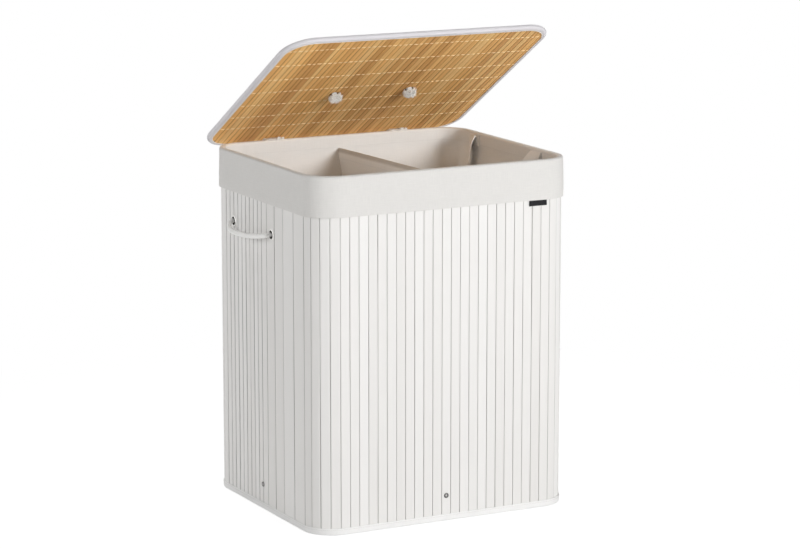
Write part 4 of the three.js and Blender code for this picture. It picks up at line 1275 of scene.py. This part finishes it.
def strap_tab(side, sign, end, y):
    """The strap's sewn end, flat against the inside of the rim, with a stitched box."""
    x = sign * STRAP_AXIS_X
    along = [np.array((x, y, z)) for z in np.linspace(STRAP_TOP - 0.0006, STRAP_JOINT - 0.0006, 9)]
    tab = strap_sheet(along, [np.array((0.0, 1.0, 0.0))] * len(along), STRAP_THICKNESS)
    tab.piece(f"{side}_{end}_tab_webbing", WEBBING, "webbing", f"{side}_strap_{end}_tab")
    thread = Builder()
    face_x = x - sign * (STRAP_THICKNESS / 2 + 0.0005)
    low, high, half = STRAP_JOINT + 0.003, STRAP_TOP - 0.003, STRAP_WIDTH / 2 - 0.003
    corners = [(y - half, low), (y + half, low), (y + half, high), (y - half, high)]
    lines = [(corners[i], corners[j]) for i, j in ((0, 1), (1, 2), (2, 3), (3, 0), (0, 2), (1, 3))]
    for (y0, z0), (y1, z1) in lines:
        steps = int(math.hypot(y1 - y0, z1 - z0) / 0.003)
        for i in range(steps):
            share = (i + 0.5) / steps
            centre = (face_x, y0 + (y1 - y0) * share, z0 + (z1 - z0) * share)
            add_stitch(thread, centre, (0, y1 - y0, z1 - z0), (-sign, 0, 0), 0.0023, lift=0.0003)
    thread.piece(f"{side}_{end}_tab_stitches", WHITE_THREAD, "webbing")


def side_tag():
    """A bare woven tag, folded double, that hangs from under the cuff and curls back at its lower corners."""
    face = CENTRE_Y - BODY_DEPTH / 2
    middle, half = (TAG_LEFT + TAG_RIGHT) / 2, (TAG_RIGHT - TAG_LEFT) / 2
    line = smooth_path([(0, y, z) for y, z in TAG_LINE], 0.0006)
    columns = np.linspace(TAG_LEFT, TAG_RIGHT, 20)
    grid = []
    for _, y, z in line:
        curl = TAG_CURL * float(smoothstep(0.585, TAG_BOTTOM, z))
        grid.append([(x, face + y - 0.0002 - curl * ((x - middle) / half) ** 2, z) for x in columns])
    tag = add_sheet(Builder(), grid, TAG_THICKNESS, columns, path_lengths(line))
    tag.piece("side_tag_cloth", TAG_CLOTH, "woven_tag", "side_tag")


def lid_span(x, inset):
    """Lowest and highest y of the lid's outline at x, drawn in by inset, in the lid's own frame."""
    centre_x, centre_y = LID.centre
    half_x, half_y = LID.half[0] - inset, LID.half[1] - inset
    radius = LID.radius - inset
    beyond = abs(x - centre_x) - (half_x - radius)
    if beyond >= radius:
        return None
    reach = half_y if beyond <= 0 else half_y - radius + math.sqrt(radius ** 2 - beyond ** 2)
    return centre_y - reach, centre_y + reach


def add_lid_strip(builder, x, section, height, tone, painted_side_shade, up=1):
    """A strip that runs front to back. Its section's face looks up or down."""
    half = max(across for across, _ in section)
    spans = [lid_span(x + side * half, LID_MAT_INSET) for side in (-1, 1)]
    if None in spans:
        return
    low, high = max(span[0] for span in spans), min(span[1] for span in spans)
    sway, phase = jitter(0.00016), rng.uniform(0, 6)
    ys = np.linspace(low, high, 13)
    rows = []
    for y in ys:
        wave = math.sin((y - low) * 14 + phase)
        rows.append([(x + across + sway * wave, y, height + up * outward) for across, outward in section])
    add_slat_bar(builder, rows, tone, section, ys, painted_side_shade)


def knot_places():
    y, height = LID_SHIFT[1] + KNOT_Y - HINGE_Y, lid_height(0)
    return [Vector((LID_SHIFT[0] + sign * KNOT_SPACING / 2, y, height)) for _, sign in SIDES]


def lid_underside():
    """Narrow bamboo strips side by side, held by rows of thread that pass over each strip."""
    builder, thread = Builder(), Builder()
    x = LID.centre[0] - LID.half[0] + 0.002
    end = LID.centre[0] + LID.half[0] - 0.002
    made = 0
    while x < end:
        width = STRIP_PITCH * STRIP_SHARES[made % 2] * rng.uniform(0.95, 1.05)
        middle = x + width / 2
        section = slat_section(width - STRIP_GAP, LID_SLAT_THICKNESS, crown=0.0001, radius=0.0003)
        height = lid_height(LID_UNDER_FACE) + jitter(0.00010)
        # Each strip's sides get painted shade of a depth of their own
        add_lid_strip(builder, middle, section, height, rng.random(), rng.uniform(0.35, 1.0), up=-1)
        span = lid_span(middle, LID_BAND + 0.0005)
        for row in STITCH_ROWS:
            y = row - HINGE_Y
            if span and span[0] < y < span[1]:
                place = (middle + jitter(0.0003), y + jitter(0.0003), height)
                add_stitch(thread, place, (1, jitter(0.05), 0), (0, 0, -1), width * 0.80, 0.0016, 0.0005)
        x += width
        made += 1
    piece = builder.piece(
        "lid_underside_strips", NATURAL_BAMBOO, "natural_bamboo", "lid_underside_mat", "lid",
    )
    cut_holes(piece, knot_places(), (0, 0, 1), KNOT_HOLE)
    thread.piece("lid_underside_stitches", STRAW_THREAD, "natural_bamboo", body="lid")


def lid_top():
    """White slats front to back. Where a whole one would pass the lid's end, a narrow one stands instead."""
    builder = Builder()
    count = int(LID_WIDTH / FRONT_PITCH)
    for i in range(-1, count + 1):
        x = LID.centre[0] + (i + 0.5 - count / 2) * FRONT_PITCH
        for share, shift in ((1, 0.0), (0.45, math.copysign(0.27 * FRONT_PITCH, -x))):
            width = FRONT_PITCH * share
            if all(lid_span(x + shift + edge * width / 2, LID_MAT_INSET) for edge in (-1, 1)):
                section = slat_section(width - LID_GROOVE, LID_SLAT_THICKNESS)
                height = lid_height(LID_TOP_FACE) + rng.uniform(-1, 0.2) * 0.0002
                add_lid_strip(builder, x + shift, section, height, rng.random(), 0.5)
                break
    piece = builder.piece("lid_top_slats", LID_SLAT_PAINT, "painted_bamboo", "lid_slat_mat", "lid")
    cut_holes(piece, knot_places(), (0, 0, 1), HANDLE_HOLE)


def lid_binding():
    """The tape round the lid's edge, a half round outside, with a row of stitches on each face."""
    def pucker(point, row):
        return ripples(point, LID_BINDING_PUCKER), 0.00006 * ripple(point, 130, 51)

    radius, middle = LID_TAPE_RADIUS, LID_THICKNESS / 2
    section = [(-LID_BAND + 0.0002, 0.0007), (-0.009, 0.0006), (-0.0075, 0.0006), (-0.0055, 0.0006)]
    section += [
        (-radius - 0.0006 + radius * math.cos(a), middle + radius * math.sin(a))
        for a in np.linspace(-math.pi / 2, math.pi / 2, 13)
    ]
    section += [(-0.0055, 0.0094), (-0.0075, 0.0094), (-0.009, 0.0094), (-LID_BAND + 0.0002, 0.0093)]
    section = [(outward, lid_height(height)) for outward, height in section]
    tape = add_band_round(Builder(), LID, section, LID_TAPE_THICKNESS, HEMMED_BAND_POINTS, pucker)
    tape.piece("lid_binding_tape", LID_TAPE, "lid_binding_fabric", "lid_edge_binding", "lid")
    thread = Builder()
    for height, up in ((0.0004, -1), (0.0096, 1)):
        add_stitches_round(
            thread, LID, -LID_BAND + 0.0007, lid_height(height), (0, up), pitch=0.0040, length=0.0042,
            width=0.0014, lift=0.0002,
        )
    thread.piece("lid_binding_stitches", CREAM_THREAD, "lid_binding_fabric", body="lid")


def lid_knots_and_handle():
    for place, (side, _) in zip(knot_places(), SIDES):
        stub = [place + UP * rise for rise in (0.0098, 0.004, -0.004)]
        knot = add_rope(Builder(), evenly_spaced(stub, ROPE_STEP), radius=LID_STUB_RADIUS)
        add_overhand_knot(knot, place - UP * LID_KNOT_DEPTH, -UP, **LID_KNOT)
        for depth, fray in LID_FRAYS:
            add_fray(knot, place - UP * depth, -UP, **fray)
        knot.piece(f"lid_{side}_knot", COTTON, "cotton_rope", f"lid_{side}_rope_knot", "lid")
    first = knot_places()[0] + UP * LID_HANDLE_AXIS
    route = [LID_MATRIX @ (first + Vector(step)) for step in LID_HANDLE_ROUTE]
    handle_rope("lid_handle_rope", route, "lid_handle", "lid_rope_handle")


def hinge_tapes():
    """Cloth tapes from the rim onto the lid's rear binding, whipped down with thick cotton."""
    rear = BODY_DEPTH / 2 + CENTRE_Y
    columns = np.linspace(-TAPE_WIDTH / 2, TAPE_WIDTH / 2, 26)
    for side, sign in SIDES:
        x = sign * TAPE_X
        path = smooth_path([(x, rear + y, z) for y, z in TAPE_LINE], 0.0012)
        grid = []
        for i, point in enumerate(path):
            row = []
            for w in columns:
                ragged = ripple((w * 3, i * 0.002, x), 90, 53)
                row.append((point[0] + w + 0.0006 * ragged, point[1], point[2] + 0.00035 * ragged))
            grid.append(row)
        tape = add_sheet(Builder(), grid, TAPE_THICKNESS, columns, path_lengths(path))
        piece = tape.piece(
            f"{side}_hinge_tape_cloth", HINGE_TAPE, "liner_fabric", f"{side}_hinge_tape", body=None,
        )
        ties = whipping(path).piece(f"{side}_hinge_tie_yarn", COTTON, "cotton_rope", body=None)
        for bending in (piece, ties):
            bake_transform(bending)


def whipping(path):
    """Uneven loops of thick thread across a hinge tape, with a few loose ends."""
    builder = Builder()
    away = np.gradient(path, axis=0)
    away /= np.linalg.norm(away, axis=1, keepdims=True)
    for step in range(TIE_LOOPS):
        w = (step / (TIE_LOOPS - 1) - 0.5) * (TAPE_WIDTH - 0.004) + jitter(0.0008)
        lean = jitter(0.004)
        loop = []
        for share in np.linspace(0.03, 0.62, 14):
            i = int(share * (len(path) - 1))
            outward = np.array((0.0, -away[i][2], away[i][1]))
            rise = 0.0008 + 0.0009 * math.sin(math.pi * (share - 0.03) / 0.59)
            loop.append(path[i] + outward * rise + np.array((w + lean * share, 0.0, 0.0)))
        add_tube(builder, loop, np.linspace(0.0009, 0.0007, len(loop)), sides=6)
    for centre, count, reach in TIE_FRAYS:
        for _ in range(count):
            root = path[1] + np.array((centre + jitter(0.0022), rng.uniform(-0.001, 0.001), 0.0003))
            lean = np.array((rng.uniform(-0.6, 0.6), rng.uniform(-0.5, 0.1), 1.0))
            lean *= reach * rng.uniform(0.5, 1.0)
            bend = root + lean * 0.55 + np.array((0.0, 0.0, 0.0004))
            add_tube(builder, [root, bend, root + lean], (0.0007, 0.0006, 0.0003), sides=5)
    return builder


def camera():
    data = bpy.data.cameras.new("camera")
    data.sensor_width = SENSOR_WIDTH
    data.lens = FOCAL_PIXELS * SENSOR_WIDTH / PICTURE_WIDTH
    made = linked("camera", data)
    made.location = CAMERA_PLACE
    made.rotation_euler = (math.radians(90 - CAMERA_DOWN), 0, math.radians(-CAMERA_YAW))
    bpy.context.scene.camera = made


def background_ray(nodes):
    """1 for rays that show the background: seen directly, mirrored or through glass."""
    rays = nodes.node("LightPath").outputs
    total = rays["Is Camera Ray"]
    for name in ("Is Glossy Ray", "Is Transmission Ray"):
        total = nodes.math("MAXIMUM", total, rays[name])
    return total


def far_from_object(nodes):
    """0 on the floor round the object, 1 further out."""
    distance = nodes.node("VectorMath", {0: nodes.object_place()}, operation="LENGTH").outputs["Value"]
    inputs = {"Value": distance, "From Min": SHADOW_END, "From Max": WHITE_FROM}
    return nodes.node("MapRange", inputs, interpolation_type="SMOOTHSTEP").outputs[0]


def floor():
    """Keeps the object's shadow, and is white further out for every ray that shows the background."""
    corners = [(x * FLOOR_HALF, y * FLOOR_HALF, 0) for x, y in ((-1, -1), (1, -1), (1, 1), (-1, 1))]
    mesh = bpy.data.meshes.new("floor")
    mesh.from_pydata(corners, [], [(0, 1, 2, 3)])
    made = linked("floor", mesh)
    made.location.z = FLOOR_HEIGHT
    material = bpy.data.materials.new("floor")
    material.use_nodes = True
    nodes = Nodes(material.node_tree)
    diffuse = nodes.node("BsdfDiffuse", {"Color": FLOOR_COLOUR})
    glow = nodes.node("Emission", {"Strength": FLOOR_GLOW})
    shadow_catching = nodes.mix_shaders(GLOW_SHARE, diffuse, glow)
    backdrop = nodes.mix_shaders(far_from_object(nodes), shadow_catching, nodes.node("Emission"))
    chosen = nodes.mix_shaders(background_ray(nodes), diffuse, backdrop)
    nodes.put(nodes.tree.nodes["Material Output"].inputs["Surface"], chosen.outputs[0])
    nodes.tree.nodes.remove(nodes.tree.nodes["Principled BSDF"])
    mesh.materials.append(material)


def world():
    made = bpy.data.worlds.new("studio")
    bpy.context.scene.world = made
    made.use_nodes = True
    nodes = Nodes(made.node_tree)
    light = nodes.node("Background", {"Color": WORLD_COLOUR, "Strength": WORLD_STRENGTH})
    white = nodes.node("Background", {"Color": (1, 1, 1)})
    chosen = nodes.mix_shaders(background_ray(nodes), light, white)
    nodes.put(nodes.tree.nodes["World Output"].inputs["Surface"], chosen.outputs[0])
    nodes.tree.nodes.remove(nodes.tree.nodes["Background"])


def softbox(name, place, target, size, power):
    data = bpy.data.lights.new(name, "AREA")
    data.shape = "RECTANGLE"
    data.size, data.size_y = size
    data.energy = power
    made = linked(name, data)
    made.location = place
    made.rotation_euler = (Vector(target) - Vector(place)).to_track_quat("-Z", "Y").to_euler()


def studio():
    floor()
    world()
    for lamp in LAMPS:
        softbox(*lamp)
    bpy.context.scene.view_settings.view_transform = "Standard"


def carried_over_nodes():
    for name in ("base_board", "lid_core_board"):
        node = frame["nodes"][name]
        node.data.materials.clear()
        node.data.materials.append(FIBREBOARD)


camera()
side_handles()
lid_knots_and_handle()
slatted_wall()
backing_cloth()
edge_bindings()
base_tabs_and_rivets()
eyelets_and_side_knots()
liner_cuff()
liner_bag()
divider()
carry_straps()
side_tag()
lid_underside()
lid_top()
lid_binding()
hinge_tapes()
carried_over_nodes()
studio()
